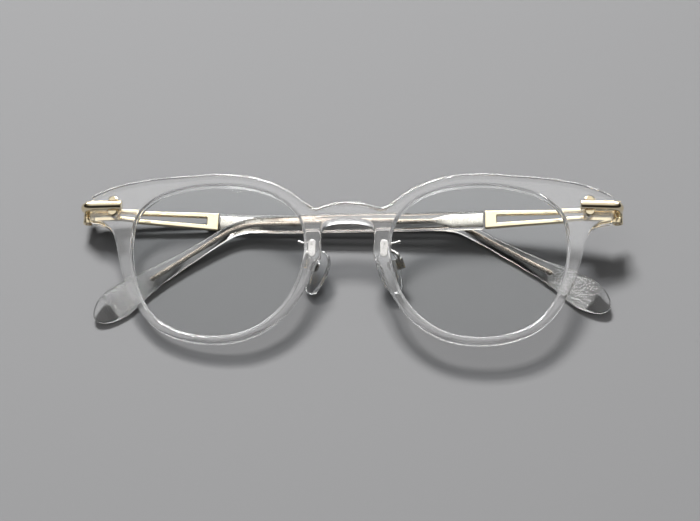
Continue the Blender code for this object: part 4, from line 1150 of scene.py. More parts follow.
def rivet_seat(level):
    """The pocket of a rivet's head, and the hole of its shank."""
    head = cylinder(RIVET_HEAD_RADIUS + FIT_GAP,
                    Vector((RIVET_X, level * RIVET_HEAD_Y, -RIVET_HEAD_PROUD - FIT_GAP)),
                    Vector((RIVET_X, level * RIVET_HEAD_Y, RIVET_HEAD_PROUD + MM)))
    shank = cylinder(RIVET_SHANK_RADIUS + FIT_GAP,
                     Vector((RIVET_X, level * RIVET_SHANK_Y, -FRONT_THICKNESS - MM)),
                     Vector((RIVET_X, level * RIVET_SHANK_Y, 0.0)), SMALL_SIDES)
    return [head, shank]


# %% [markdown]
# ### Cutting and shading the front
#
# The plate is drawn flat, sliced into strips and bent, and then the seats of the bars and
# rivets are cut. Cuts leave long thin triangles, whose shading would ripple in clear plastic.
# So each corner on a face or a round edge gets the normal that the drawing has at its place.


# %% Make the front
OPENING_STEPS = 16
OUTLINE_STEPS = 10
STRIP_WIDTH = 2.5 * MM
SLICE_TOLERANCE = 0.0001 * MM
FACE_TOLERANCE = 0.0005 * MM
EDGE_TOLERANCE = 0.002 * MM
FLAT_ENOUGH = 0.999
SAME_SIDE = 0.8


def bar_seat():
    """The groove that a bar lies in, a fit gap wider than the bar."""
    return to_bmesh(sweep_rod([(point, 1.0) for point in bar_path()], BAR_RADIUS + FIT_GAP, GOLD))


def slice_across(mesh_data, reach, step):
    """Divide the flat faces into strips, so that they can follow the bend of the front."""
    count = math.floor(reach / step)
    mesh_data.normal_update()
    for index in range(-count, count + 1):
        flat = [face for face in mesh_data.faces if abs(face.normal.z) > FLAT_ENOUGH]
        parts = set(flat)
        for face in flat:
            parts.update(face.edges)
            parts.update(face.verts)
        bmesh.ops.bisect_plane(mesh_data, geom=list(parts), dist=SLICE_TOLERANCE,
                               plane_co=(index * step, 0.0, 0.0), plane_no=(1.0, 0.0, 0.0))


def edge_normals(loops, edge, thickness, segments=ROUND_STEPS):
    """A search tree of every point of the round edges, and the true normal of each."""
    found = []
    for loop, sign in loops:
        for angle in even_steps(0.0, math.pi / 2, segments):
            inset = sign * edge * (1 - math.sin(angle))
            drop = edge * (1 - math.cos(angle))
            for point, inward in zip(loop, loop_normals(loop)):
                place = point + inward * inset
                out = inward * -sign * math.sin(angle)
                for height, up in ((-drop, math.cos(angle)), (drop - thickness, -math.cos(angle))):
                    found.append((Vector((*place, height)), Vector((*out, up))))
    tree = kdtree.KDTree(len(found))
    for index, (place, _) in enumerate(found):
        tree.insert(place, index)
    tree.balance()
    return tree, [normal for _, normal in found]


def true_normal(place, tree, normals):
    """The normal of the front before its cuts, at a point of its bent surface."""
    flat = Vector((place.x, place.y, place.z + wrap_depth(place.x)))
    if abs(flat.z) < FACE_TOLERANCE:
        normal = Vector((0.0, 0.0, 1.0))
    elif abs(flat.z + FRONT_THICKNESS) < FACE_TOLERANCE:
        normal = Vector((0.0, 0.0, -1.0))
    else:
        _, index, distance = tree.find(flat)
        if distance > EDGE_TOLERANCE:
            return None
        normal = normals[index]
    return Vector((normal.x + normal.z * place.x / FACE_RADIUS, normal.y, normal.z)).normalized()


def set_true_normals(mesh, tree, normals):
    """Give the faces and round edges their true normals, and leave the cuts as they are."""
    mesh.shade_smooth()
    mesh.set_sharp_from_angle(angle=SHARP_ANGLE)
    shown = [corner.vector.copy() for corner in mesh.corner_normals]
    changed = 0
    for polygon in mesh.polygons:
        for corner in polygon.loop_indices:
            normal = true_normal(mesh.vertices[mesh.loops[corner].vertex_index].co, tree, normals)
            if normal is not None and normal.dot(polygon.normal) > SAME_SIDE:
                shown[corner] = normal
                changed += 1
    mesh.normals_split_custom_set(shown)
    print(f"true normals on {changed} of {len(shown)} corners")


def make_front():
    """The front in its own drawing, before it is moved to its place."""
    opening = lens_loop(OPENING_STEPS)
    mirrored = [Vector((-point.x, point.y)) for point in opening[::-1]]
    middle = FRONT_THICKNESS / 2
    groove = ((0.0, -middle + GROOVE_HALF), (GROOVE_DEPTH, -middle + GROOVE_HALF - GROOVE_SLOPE),
              (GROOVE_DEPTH, -middle - GROOVE_HALF + GROOVE_SLOPE), (0.0, -middle - GROOVE_HALF))
    outline = front_outline(OUTLINE_STEPS)
    mesh_data = plate_with_holes(outline, (opening, mirrored),
                                 rounded_profile(FRONT_EDGE, FRONT_THICKNESS),
                                 rounded_profile(FRONT_EDGE, FRONT_THICKNESS, groove))
    slice_across(mesh_data, END_X, STRIP_WIDTH)
    for vertex in mesh_data.verts:
        vertex.co.z -= wrap_depth(vertex.co.x)
    cuts = [moved(cut, side_matrix(sign) @ end_frame()) for sign in SIDES.values()
            for cut in [bar_seat()] + rivet_seat(1.0) + rivet_seat(-1.0)]
    mesh = cut_mesh(mesh_data, cuts)
    set_true_normals(mesh, *edge_normals([(outline, 1.0), (opening, -1.0), (mirrored, -1.0)],
                                         FRONT_EDGE, FRONT_THICKNESS))
    return place_piece("clear_front", mesh, FRONT, ACETATE, "frame", ["front_frame"],
                       own_normals=True)


count_faces("clear front", make_front())


# %% Make the bars and rivets
def make_end_fittings(side, sign):
    """The bar of one end piece, and its two rivets as one piece."""
    matrix = FRONT @ side_matrix(sign) @ end_frame()
    bar = sweep_rod(softened_path(bar_path(), BAR_RADIUS, BAR_END_ROUND), BAR_RADIUS, GOLD)
    place_piece(f"{side}_gold_bar", bar, matrix, GOLD, "frame", [f"{side}_hinge_bar"])
    mesh = cut_mesh(joined(make_rivet(1.0), make_rivet(-1.0)), [])
    place_piece(f"{side}_gold_rivets", mesh, matrix, GOLD, "frame",
                [f"{side}_upper_rivet", f"{side}_lower_rivet"])
    print(f"{side} rivets: {len(mesh.polygons)} faces")


for side, sign in SIDES.items():
    make_end_fittings(side, sign)

# %% [markdown]
# ## The lenses
#
# Each lens is a meniscus: both faces bulge forward, the front one more, so the lens is thicker
# in the middle, as reading lenses are. Its rim is square and sits in the groove with a little
# air round it. Rings of the outline, drawn smaller and smaller, give the domed faces.

# %% Make the lenses
LENS_EDGE = 1.1 * MM
LENS_CROWN = 1.6 * MM
LENS_HOLLOW = 0.5 * MM
LENS_REACH = 0.45 * MM
LENS_RINGS = 14
LENS_STEPS = 10


def make_lens(side, sign):
    outline = offset_loop(lens_loop(LENS_STEPS), -LENS_REACH)
    centre = lens_centre()
    middle = -FRONT_THICKNESS / 2

    def ring(share, crown, level):
        return shrunk_ring(outline, centre, share, level + crown * (1 - share ** 2))

    shares = [1 - step / LENS_RINGS for step in range(LENS_RINGS)]
    front = middle + LENS_EDGE / 2
    back = middle - LENS_EDGE / 2
    rings = [ring(share, LENS_CROWN, front) for share in shares[::-1]]
    rings += [ring(share, LENS_HOLLOW, back) for share in shares]
    mesh_data = solid_with_poles(rings, Vector((centre.x, centre.y, front + LENS_CROWN)),
                                 Vector((centre.x, centre.y, back + LENS_HOLLOW)))
    for vertex in mesh_data.verts:
        vertex.co.z -= wrap_depth(vertex.co.x)
    mesh = cut_mesh(mesh_data, [])
    return place_piece(f"{side}_clear_lens", mesh, FRONT @ side_matrix(sign), LENS_GLASS, "frame",
                       [f"{side}_lens"])


for side, sign in SIDES.items():
    count_faces(f"{side} lens", make_lens(side, sign))

# %% [markdown]
# ## The hinges
#
# Behind each end piece a gold plate carries two knuckles, and the temple's own knuckle turns
# between them on a slotted screw. The plate shows through the clear acetate, so it has soft
# edges like the rest. Plate and barrel overlap where the maker would braze them.

# %% Make the hinge plates and screws
KNUCKLE_HALF = 2.9 * MM
MIDDLE_KNUCKLE_HALF = 1.1 * MM
PLATE_THICKNESS = 0.8 * MM
PLATE_INNER_X = END_X - 8.0 * MM
PLATE_HALF = 2.9 * MM
PLATE_EDGE = 0.18 * MM
KNUCKLE_EDGE = 0.12 * MM
HINGE_SCREW_RADIUS = 0.5 * MM
HINGE_SCREW_SIZES = {"Head Radius": 1.05 * MM, "Head Height": 0.5 * MM, "Soft Edge": 0.12 * MM,
                     "Shank Radius": HINGE_SCREW_RADIUS, "Shank Length": 2 * KNUCKLE_HALF + FIT_GAP,
                     "Slot Width": 0.3 * MM, "Slot Depth": 0.25 * MM, "Metal": GOLD}


def hinge_bore(x, low, high, level):
    """The hole of the hinge screw, past both ends of what it goes through."""
    return cylinder(HINGE_SCREW_RADIUS + FIT_GAP, Vector((x, low - MM, level)),
                    Vector((x, high + MM, level)), BORE_SIDES)


def knuckle(low, high):
    """A barrel round the hinge axis with soft ends and a bore."""
    level = hinge_height()
    body = cylinder(KNUCKLE_RADIUS, Vector((HINGE_X, low, level)), Vector((HINGE_X, high, level)))
    rims = [item for item in body.edges if abs(item.verts[0].co.y - item.verts[1].co.y) < 0.01 * MM]
    bevel_edges(body, rims, KNUCKLE_EDGE)
    return to_bmesh(cut_mesh(body, [hinge_bore(HINGE_X, low, high, level)]))


def make_hinge(side, sign):
    """The plate with its two knuckles as one piece, and the screw through them."""
    matrix = FRONT @ side_matrix(sign) @ hinge_frame()
    level = hinge_height()
    floor = -FRONT_THICKNESS - FIT_GAP
    slot_half = MIDDLE_KNUCKLE_HALF + FIT_GAP
    plate = block(Vector((PLATE_INNER_X, -PLATE_HALF, floor - PLATE_THICKNESS)),
                  Vector((HINGE_X - KNUCKLE_RADIUS / 2, PLATE_HALF, floor)), PLATE_EDGE)
    bore = hinge_bore(HINGE_X, -PLATE_HALF, PLATE_HALF, level)
    notch = block(Vector((HINGE_X - KNUCKLE_RADIUS - FIT_GAP, -slot_half, level - 2 * MM)),
                  Vector((HINGE_X + 2 * MM, slot_half, 0.0)))
    plate = to_bmesh(cut_mesh(plate, [notch, bore]))
    mesh = cut_mesh(joined(plate, knuckle(slot_half, KNUCKLE_HALF), knuckle(-KNUCKLE_HALF, -slot_half)), [])
    print(f"{side} hinge: {len(mesh.polygons)} faces")
    place_piece(f"{side}_gold_hinge", mesh, matrix, GOLD, "frame", [f"{side}_hinge_plate"])
    spot = (Vector((HINGE_X, KNUCKLE_HALF + FIT_GAP, level)), Vector((0.0, 1.0, 0.0)))
    screw = make_fasteners(SCREW_TREE, [spot], HINGE_SCREW_SIZES)
    place_piece(f"{side}_gold_hinge_screw", screw, matrix, GOLD, "frame", [f"{side}_hinge_screw"])


for side, sign in SIDES.items():
    make_hinge(side, sign)

# %% [markdown]
# ## The temples
#
# Each temple starts as a flat gold section with a long tapering window. Behind it comes the
# clear arm, moulded over a metal core that stops short of the tip. A temple isn't straight: it
# turns in behind the gold, drops behind the ear and hugs the head. The line is walked in small
# steps here, turning as it goes, and the pieces are rings square to that line.

# %% The line of a temple
GOLD_END = 35.6 * MM
GOLD_OFFSET = 0.35 * MM
EAR_DROPS = {"left": math.radians(31.0), "right": math.radians(34.0)}
EAR_TO_TIPS = {"left": 56.6 * MM, "right": 54.1 * MM}
EAR_BEND_LENGTH = 14.5 * MM
TIP_DROP = math.radians(12.0)
TIP_DROP_LENGTH = 14.0 * MM
SHOULDER_TURN = math.radians(6.7)
SHOULDER_LENGTH = 14.0 * MM
SHOULDER_RISES = {"left": math.radians(2.0), "right": math.radians(-0.9)}
EAR_HUG = math.radians(12.0)
HUG_TO_TIP = 52.0 * MM
HUG_LENGTH = 44.0 * MM
WALK_STEP = TEMPLE_LENGTH / 290


def temple_directions(side, distance):
    """The directions along and up the temple, once it has turned in and dropped."""
    start = TEMPLE_LENGTH - EAR_TO_TIPS[side]
    drop = (EAR_DROPS[side] * ramp(distance, start, start + EAR_BEND_LENGTH)
            + TIP_DROP * ramp(distance, TEMPLE_LENGTH - TIP_DROP_LENGTH, TEMPLE_LENGTH)
            - SHOULDER_RISES[side] * ramp(distance, GOLD_END, GOLD_END + SHOULDER_LENGTH))
    hug_start = TEMPLE_LENGTH - HUG_TO_TIP
    turn = (SHOULDER_TURN * ramp(distance, GOLD_END, GOLD_END + SHOULDER_LENGTH)
            + EAR_HUG * ramp(distance, hug_start, hug_start + HUG_LENGTH))
    ahead = Vector((math.cos(turn), 0.0, math.sin(turn)))
    upright = Vector((0.0, 1.0, 0.0))
    return (ahead * math.cos(drop) - upright * math.sin(drop),
            ahead * math.sin(drop) + upright * math.cos(drop))


def temple_frames(side, distances):
    """The point, direction, height and inward directions of the temple's line at distances."""
    frames = []
    point = Vector((0.0, 0.0, -GOLD_OFFSET))
    here = 0.0
    for target in distances:
        pieces = max(1, math.ceil((target - here) / WALK_STEP))
        step = (target - here) / pieces
        for _ in range(pieces):
            point = point + step * temple_directions(side, here + step / 2)[0]
            here += step
        along, height = temple_directions(side, here)
        frames.append((point.copy(), along, height, along.cross(height)))
    return frames


def section(frame, half_height, half_thickness, round_share, corner_steps=6):
    """A rectangle with round corners, square to the temple's line."""
    point, _, height, inward = frame
    radius = half_thickness * round_share
    ring = []
    for quarter, (up, out) in enumerate(((1, 1), (-1, 1), (-1, -1), (1, -1))):
        for angle in even_steps(quarter * math.pi / 2, (quarter + 1) * math.pi / 2, corner_steps):
            ring.append(point + height * (up * (half_height - radius) + radius * math.cos(angle))
                        + inward * (out * (half_thickness - radius) + radius * math.sin(angle)))
    return ring


def oval_section(frame, half_height, half_thickness, sides=24):
    """An oval, square to the temple's line."""
    point, _, height, inward = frame
    angles = [2 * math.pi * step / sides for step in range(sides)]
    return [point + height * half_height * math.cos(angle) + inward * half_thickness * math.sin(angle)
            for angle in angles]


# %% [markdown]
# ### The gold sections
#
# The gold section is stamped from plate: an outline, a window and a small even chamfer. A
# knuckle at its root turns on the hinge screw, and a neck joins the two.

# %% Make the gold sections
GOLD_START = 2.4 * MM
GOLD_THICKNESS = 1.4 * MM
GOLD_ROOT_END = 5.5 * MM
GOLD_START_HALF = 1.45 * MM
GOLD_END_HALF = 2.5 * MM
GOLD_EDGE = 0.3 * MM
WINDOW_START = 7.4 * MM
WINDOW_END = 32.3 * MM
WINDOW_START_HALF = 0.42 * MM
WINDOW_END_HALF = 1.05 * MM
GOLD_CORNER = 0.35 * MM
WINDOW_CORNER = 0.3 * MM
NECK_EDGE = 0.1 * MM


def round_corners(points, radius, steps=4):
    """The outline with each corner replaced by a small arc."""
    loop = []
    for index, point in enumerate(points):
        before = (points[index - 1] - point).normalized()
        after = (points[(index + 1) % len(points)] - point).normalized()
        start = point + before * radius
        end = point + after * radius
        for t in even_steps(0.0, 1.0, steps):
            loop.append((1 - t) ** 2 * start + 2 * t * (1 - t) * point + t * t * end)
    return loop


def even_outline(halves, corner):
    """A shape that is the same above and below its middle line, with round corners."""
    points = [Vector(pair) for pair in halves] + [Vector((x, -y)) for x, y in halves[::-1]]
    return round_corners(points, corner)


def make_gold_section(side, sign):
    profile = rounded_profile(GOLD_EDGE, GOLD_THICKNESS, segments=3)
    outline = even_outline([(GOLD_END, GOLD_END_HALF), (GOLD_ROOT_END, GOLD_START_HALF),
                            (GOLD_START, GOLD_START_HALF)], GOLD_CORNER)
    window = even_outline([(WINDOW_END, WINDOW_END_HALF), (WINDOW_START, WINDOW_START_HALF)], WINDOW_CORNER)
    plate = plate_with_holes(outline, [window], profile, profile)
    front = GOLD_THICKNESS / 2 - GOLD_OFFSET
    bmesh.ops.translate(plate, verts=plate.verts, vec=(0.0, 0.0, front))
    neck_half = MIDDLE_KNUCKLE_HALF - NECK_EDGE
    neck = block(Vector((0.0, -neck_half, front - GOLD_THICKNESS + NECK_EDGE)),
                 Vector((GOLD_START + GOLD_EDGE * 3, neck_half, front - NECK_EDGE)), NECK_EDGE)
    barrel = cylinder(KNUCKLE_RADIUS, Vector((0.0, -MIDDLE_KNUCKLE_HALF, 0.0)),
                      Vector((0.0, MIDDLE_KNUCKLE_HALF, 0.0)))
    neck, barrel = (to_bmesh(cut_mesh(part, [hinge_bore(0.0, -MM, MM, 0.0)])) for part in (neck, barrel))
    mesh = cut_mesh(joined(plate, neck, barrel), [])
    return place_piece(f"{side}_gold_section", mesh, temple_place(side, sign), GOLD, f"{side}_temple",
                       [f"{side}_temple_bar"])


for side, sign in SIDES.items():
    count_faces(f"{side} gold section", make_gold_section(side, sign))

# %% [markdown]
# ### The core wires and the clear arms
#
# The core begins as a wide blade in the end of the arm and narrows to a thin wire, oval in
# section. The arm is a soft rectangle in section. It thins behind the ear and widens again
# into the flat paddle of the tip. Two point attributes guide the finishes: one says how far
# the blade has become wire, and so where the core is painted dark as shade, and one how
# grained the arm is: fully on the paddle, fading to nothing towards the wire and at the
# polished tip.

# %% Sizes of the cores and arms
ARM_THICKNESS = 2.4 * MM
ARM_HALF = 2.6 * MM
ARM_HEIGHT_SHARES = (
    (0.0, 1.0), (0.40, 0.97), (0.60, 0.93), (0.655, 0.84), (0.69, 0.69), (0.75, 0.69), (0.80, 0.79),
    (0.85, 0.98), (0.885, 1.24), (0.92, 1.56), (0.945, 1.7), (1.0, 1.7),
)
ARM_ROUND_SHARE = 0.9
TIP_ROUND_LENGTH = 9.0 * MM
TIP_THIN_SHARE = 0.55
TIP_LAST_SHARE = 0.985
PADDLE_SAG = 0.6 * MM
BLADE_HALF = 1.75 * MM
BLADE_END = 44.5 * MM
CORE_START = 51.0 * MM
CORE_HALF = 0.65 * MM
CORE_THICKNESS = 0.7 * MM
CORE_END = TEMPLE_LENGTH - 18.5 * MM
GRAIN_START = CORE_END - 3.0 * MM
GRAIN_END = TEMPLE_LENGTH - 3.0 * MM
GRAIN_FADE = 6.0 * MM
ARM_START = GOLD_END + FIT_GAP
ARM_EDGE = 0.3 * MM


def arm_half_height(distance):
    """Half the height of the arm, through its table of shares."""
    share = distance / TEMPLE_LENGTH
    for (start, low), (end, high) in zip(ARM_HEIGHT_SHARES[:-1], ARM_HEIGHT_SHARES[1:]):
        if share <= end:
            return ARM_HALF * (low + (high - low) * ramp(share, start, end))
    return ARM_HALF * ARM_HEIGHT_SHARES[-1][1]


def core_half_height(distance):
    return BLADE_HALF + (CORE_HALF - BLADE_HALF) * ramp(distance, BLADE_END, CORE_START)


def grain_at(distance):
    begun = ramp(distance, GRAIN_START, GRAIN_START + GRAIN_FADE)
    return begun * (1 - ramp(distance, GRAIN_END - GRAIN_FADE, GRAIN_END))


# %% Make the cores
def mark_rings(mesh_data, name, values):
    """A point attribute with one value for each ring of a solid made of rings."""
    layer = mesh_data.verts.layers.float.new(name)
    ring_size = len(mesh_data.verts) // len(values)
    for index, vertex in enumerate(mesh_data.verts):
        vertex[layer] = values[index // ring_size]


def make_core(side, sign):
    places = even_steps(ARM_START, BLADE_END, 4) + even_steps(BLADE_END, CORE_START, 12)[1:]
    places += even_steps(CORE_START, CORE_END, 60)[1:]
    rings = [oval_section(frame, core_half_height(place), CORE_THICKNESS / 2)
             for place, frame in zip(places, temple_frames(side, places))]
    mesh_data = solid_from_rings(rings)
    # These values also set the core's painted shade: dark where the blade has become wire.
    mark_rings(mesh_data, "wire", [ramp(place, BLADE_END, CORE_START) for place in places])
    mesh = cut_mesh(mesh_data, [])
    return place_piece(f"{side}_metal_core", mesh, temple_place(side, sign), CORE_METAL_WITH_PAINTED_SHADE, f"{side}_temple",
                       [f"{side}_temple_core"])


# %% Make the arms
def arm_places():
    """Distances along the arm, close together at its start and where the tip rounds."""
    round_start = TEMPLE_LENGTH - TIP_ROUND_LENGTH
    tip = [round_start + TIP_ROUND_LENGTH * math.sin(angle)
           for angle in even_steps(0.0, math.asin(TIP_LAST_SHARE), 14)]
    along = even_steps(ARM_START + ARM_EDGE, round_start, 130)[:-1]
    return [ARM_START, ARM_START + ARM_EDGE * 0.4] + along + tip, round_start


def arm_rings(side):
    """The rings of an arm: rounded at its start, drawn in and thinned to its tip."""
    places, round_start = arm_places()
    rings = []
    for distance, (point, along, height, inward) in zip(places, temple_frames(side, places)):
        past = max(distance - round_start, 0.0) / TIP_ROUND_LENGTH
        narrow = math.sqrt(1 - past ** 2)
        thin = 1 - TIP_THIN_SHARE * past ** 2
        start_share = min((distance - ARM_START) / ARM_EDGE, 1.0)
        less = ARM_EDGE * (1 - math.sqrt(1 - (1 - start_share) ** 2))
        lowered = point - height * PADDLE_SAG * ramp(distance, CORE_END, round_start)
        rings.append(section((lowered, along, height, inward), arm_half_height(distance) * narrow - less,
                             ARM_THICKNESS / 2 * thin - less, ARM_ROUND_SHARE))
    return places, rings


def make_arm(side, sign):
    places, rings = arm_rings(side)
    mesh_data = solid_from_rings(rings)
    mark_rings(mesh_data, "grain", [grain_at(place) for place in places])
    mesh = cut_mesh(mesh_data, [])
    return place_piece(f"{side}_clear_arm", mesh, temple_place(side, sign), GRAINED, f"{side}_temple",
                       [f"{side}_temple_arm"])


for side, sign in SIDES.items():
    count_faces(f"{side} core", make_core(side, sign))
    count_faces(f"{side} arm", make_arm(side, sign))

# %% [markdown]
# ## The nose pads and their arms
#
# A small foot is fixed behind each nasal rim, with a round hollow in its face where the wire is
# fixed behind. The wire runs from it, back and out, to a box with a slot, and a second short
# pin with a ball stands beside it. A screw through the box holds the lug of the pad's mount,
# so the pad can rock. The wires follow paths, so they use the rod tree.

# %% Sizes of the pads and their arms
FOOT_X = NOSE_GAP / 2 - 1.9 * MM
FOOT_Y = 11.8 * MM
FOOT_HALF_WIDTH = 1.05 * MM
FOOT_HALF_HEIGHT = 2.45 * MM
FOOT_THICKNESS = 0.7 * MM
FOOT_EDGE = 0.15 * MM
DIMPLE_RADIUS = 0.4 * MM
DIMPLE_DEPTH = 0.15 * MM
ARM_WIRE_RADIUS = 0.45 * MM
PIN_REACH = 3.9 * MM
PIN_RISE = 3.0 * MM
PIN_BACK = 2.6 * MM
PIN_RADIUS = 0.3 * MM
PIN_BALL_RADIUS = 0.5 * MM
BOX_X = NOSE_GAP / 2
BOX_Y = 15.4 * MM
BOX_BACK = 6.3 * MM
BOX_HALF = 1.5 * MM
BOX_FLOOR = 1.25 * MM
BOX_TOP = 0.9 * MM
BOX_WALL = 0.5 * MM
BOX_EDGE = 0.15 * MM
WIRE_SIDES = 20
PAD_SCREW_RADIUS = 0.25 * MM
PAD_LEAN = 1.3 * MM
PAD_TURN = math.radians(42.0)
PAD_SPLAY = math.radians(25.0)
LUG_THICKNESS = 0.9 * MM
PAD_SCREW_SIZES = {"Head Radius": 0.55 * MM, "Head Height": 0.4 * MM, "Soft Edge": 0.08 * MM,
                   "Shank Radius": PAD_SCREW_RADIUS, "Shank Length": 2 * BOX_HALF + FIT_GAP,
                   "Slot Width": 0.16 * MM, "Slot Depth": 0.16 * MM, "Metal": SILVER}


def pad_frame(sign):
    """At the pad screw: X across the pad towards its front edge, Y up it, Z towards the nose."""
    return (Matrix.Translation((BOX_X + sign * PAD_LEAN, -BOX_Y, -BOX_BACK))
            @ Matrix.Rotation(math.pi + PAD_TURN, 4, "Y") @ Matrix.Rotation(-PAD_SPLAY, 4, "Z"))


def foot_floor():
    """The level of the foot's face, a fit gap behind the bent back of the front."""
    return -FRONT_THICKNESS - wrap_depth(FOOT_X + FOOT_HALF_WIDTH) - FIT_GAP


def arm_path(sign):
    """The wire from the foot, back and out, and down to the box."""
    start = Vector((FOOT_X, FOOT_HALF_HEIGHT / 2 - FOOT_Y, foot_floor() - FOOT_THICKNESS / 2))
    box_end = pad_frame(sign) @ Vector((0.0, BOX_HALF / 2, -BOX_FLOOR - BOX_WALL / 2))
    box_lead = pad_frame(sign) @ Vector((0.0, BOX_HALF * 1.6, -BOX_FLOOR - BOX_WALL * 1.2))
    middle = start.lerp(box_lead, 0.5)
    middle.z = box_lead.z - ARM_WIRE_RADIUS
    return open_curve([start, middle, box_lead, box_end], 8)


# %% Make the pad arms
def stadium(centre, half_width, half_height, steps=14):
    """An upright outline with straight sides and round ends."""
    loop = []
    for end, base in ((1, 0.0), (-1, math.pi)):
        for angle in even_steps(base, base + math.pi, steps):
            loop.append(centre + Vector((half_width * math.cos(angle),
                                         end * (half_height - half_width) + half_width * math.sin(angle))))
    return loop


def pad_bore(reach):
    """The hole of a pad screw, as far as reach on both sides."""
    past = Vector((reach, 0.0, 0.0))
    return cylinder(PAD_SCREW_RADIUS + FIT_GAP, -past, past, SMALL_SIDES)


def pad_box():
    """The open box: a channel with soft edges, drilled for its screw."""
    slot_half = LUG_THICKNESS / 2 + FIT_GAP
    box = block(Vector((-BOX_HALF, -BOX_HALF, -BOX_FLOOR - BOX_WALL)), Vector((BOX_HALF, BOX_HALF, BOX_TOP)),
                BOX_EDGE)
    slot = block(Vector((-slot_half, -BOX_HALF - MM, -BOX_FLOOR)),
                 Vector((slot_half, BOX_HALF + MM, BOX_TOP + MM)))
    return to_bmesh(cut_mesh(box, [slot, pad_bore(BOX_HALF + MM)]))


def foot_dimple():
    """The small round hollow in the foot's face."""
    spot = Vector((FOOT_X, FOOT_HALF_HEIGHT / 2 - FOOT_Y, foot_floor()))
    return cylinder(DIMPLE_RADIUS, spot - Vector((0.0, 0.0, DIMPLE_DEPTH)), spot + Vector((0.0, 0.0, MM)),
                    BORE_SIDES)


def straight_rod(path, radius):
    """A silver rod of even thickness along a path."""
    return to_bmesh(sweep_rod([(point, 1.0) for point in path], radius, SILVER, WIRE_SIDES))


def make_pad_arm(side, sign):
    """The foot, wire, pin and box, brazed in one, and the screw of the box."""
    foot_loop = stadium(Vector((FOOT_X, -FOOT_Y)), FOOT_HALF_WIDTH, FOOT_HALF_HEIGHT)
    foot = plate_with_holes(foot_loop, [], rounded_profile(FOOT_EDGE, FOOT_THICKNESS, segments=3), [])
    bmesh.ops.translate(foot, verts=foot.verts, vec=(0.0, 0.0, foot_floor()))
    foot = to_bmesh(cut_mesh(foot, [foot_dimple()]))
    path = arm_path(sign)
    pin_end = path[0] + Vector((PIN_REACH, PIN_RISE - FOOT_HALF_HEIGHT / 2, -PIN_BACK))
    wire = straight_rod(path, ARM_WIRE_RADIUS)
    pin = straight_rod([path[0], pin_end], PIN_RADIUS)
    ball = bmesh.new()
    bmesh.ops.create_uvsphere(ball, u_segments=24, v_segments=14, radius=PIN_BALL_RADIUS)
    bmesh.ops.translate(ball, verts=ball.verts, vec=pin_end)
    box = moved(pad_box(), pad_frame(sign))
    mesh = cut_mesh(joined(foot, wire, pin, ball, box), [])
    print(f"{side} pad arm: {len(mesh.polygons)} faces")
    place_piece(f"{side}_silver_arm", mesh, FRONT @ side_matrix(sign), SILVER, "frame",
                [f"{side}_pad_arm"])
    spot = (Vector((-BOX_HALF - FIT_GAP, 0.0, 0.0)), Vector((-1.0, 0.0, 0.0)))
    screw = make_fasteners(SCREW_TREE, [spot], PAD_SCREW_SIZES)
    place_piece(f"{side}_silver_screw", screw, FRONT @ side_matrix(sign) @ pad_frame(sign), SILVER, "frame",
                [f"{side}_pad_screw"])


for side, sign in SIDES.items():
    make_pad_arm(side, sign)

# %% [markdown]
# ### The soft pads
#
# Each pad is a teardrop of clear silicone, a little dished where it meets the nose, moulded
# round a small metal mount. Rings of its outline at different levels give its round edge and
# its dish.

# %% Make the pads
PAD_HALF_LENGTH = 6.1 * MM
PAD_HALF_WIDTH = 3.7 * MM
PAD_THICKNESS = 1.7 * MM
PAD_DISH = 0.45 * MM
PAD_ROUND = 0.5 * MM
PAD_STAND = 2.3 * MM
PAD_SHIFT = 1.5 * MM
PAD_SHARES = (
    (0.0, 1.0), (0.56, 0.88), (0.93, 0.56), (1.0, 0.2), (0.87, -0.25),
    (0.64, -0.65), (0.34, -0.93), (0.0, -1.0), (-0.34, -0.93), (-0.64, -0.65),
    (-0.87, -0.25), (-1.0, 0.2), (-0.93, 0.56), (-0.56, 0.88),
)
PAD_BACK_SHARES = (0.15, 0.45, 0.7)
PAD_FACE_SHARES = (0.95, 0.88, 0.78, 0.64, 0.46, 0.28, 0.12)
PAD_LIP_SHARE = 0.3
PAD_STEPS = 8
MOUNT_RADIUS = 1.5 * MM
MOUNT_THICKNESS = 0.5 * MM
LUG_HALF_HEIGHT = 1.0 * MM
LUG_DEPTH = 0.9 * MM
LUG_EDGE = 0.12 * MM


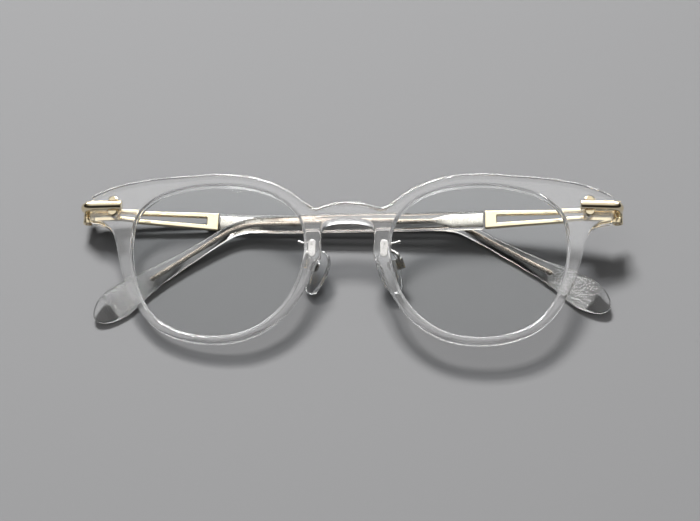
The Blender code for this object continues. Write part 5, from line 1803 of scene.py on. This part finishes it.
def make_nose_pad(side, sign):
    """A pad, ring by ring: its back, its round edge and its dished face."""
    outline = smooth_loop([Vector((PAD_HALF_WIDTH * x, PAD_HALF_LENGTH * y - PAD_SHIFT))
                           for x, y in PAD_SHARES[::-1]], PAD_STEPS)
    centre = Vector((0.0, -PAD_SHIFT))
    back = PAD_STAND
    face = PAD_STAND + PAD_THICKNESS
    rings = [(share, back) for share in PAD_BACK_SHARES]
    turns = even_steps(0.0, math.pi / 2, ROUND_STEPS)
    rings += [(1 - PAD_ROUND * (1 - math.sin(angle)) / PAD_HALF_WIDTH,
               back + PAD_ROUND * (1 - math.cos(angle))) for angle in turns]
    rings += [(1 - PAD_ROUND * (1 - math.cos(angle)) / PAD_HALF_WIDTH,
               face - PAD_ROUND * (1 - math.sin(angle))) for angle in turns]
    lip = 1 - PAD_ROUND / PAD_HALF_WIDTH
    for share in PAD_FACE_SHARES:
        dip = (1 - share ** 2) * ramp(1 - share, 0.0, PAD_LIP_SHARE)
        rings.append((lip * share, face - PAD_DISH * dip))
    mesh_data = solid_with_poles([shrunk_ring(outline, centre, share, level) for share, level in rings],
                                 Vector((centre.x, centre.y, back)),
                                 Vector((centre.x, centre.y, face - PAD_DISH)))
    mesh = cut_mesh(mesh_data, [])
    matrix = FRONT @ side_matrix(sign) @ pad_frame(sign)
    return place_piece(f"{side}_soft_pad", mesh, matrix, SILICONE, f"{side}_pad",
                       [f"{side}_nose_pad"])


def make_pad_mount(side, sign):
    """The disc in the back of the pad, and the lug that goes into the box."""
    top = PAD_STAND - FIT_GAP
    lug = block(Vector((-LUG_THICKNESS / 2, -LUG_HALF_HEIGHT, -LUG_DEPTH)),
                Vector((LUG_THICKNESS / 2, LUG_HALF_HEIGHT, top - MOUNT_THICKNESS / 2)), LUG_EDGE)
    lug = to_bmesh(cut_mesh(lug, [pad_bore(MM)]))
    disc = cylinder(MOUNT_RADIUS, Vector((0.0, 0.0, top - MOUNT_THICKNESS)), Vector((0.0, 0.0, top)))
    mesh = cut_mesh(joined(lug, disc), [])
    matrix = FRONT @ side_matrix(sign) @ pad_frame(sign)
    place_piece(f"{side}_silver_mount", mesh, matrix, SILVER, f"{side}_pad", [f"{side}_pad_mount"])


for side, sign in SIDES.items():
    count_faces(f"{side} pad", make_nose_pad(side, sign))
    make_pad_mount(side, sign)

# %% [markdown]
# ## Rays through clear pieces
#
# Light crosses many clear faces here: an arm, a rim and a lens can lie over each other. The
# renderer needs enough bounces to follow it to the table and back.

# %% Bounces
MANY_BOUNCES = 32
cycles = bpy.context.scene.cycles
cycles.use_denoising = True
cycles.caustics_reflective = False
cycles.caustics_refractive = False
cycles.max_bounces = MANY_BOUNCES
cycles.transmission_bounces = 28
cycles.glossy_bounces = 8
cycles.transparent_max_bounces = MANY_BOUNCES

bpy.context.view_layer.update()
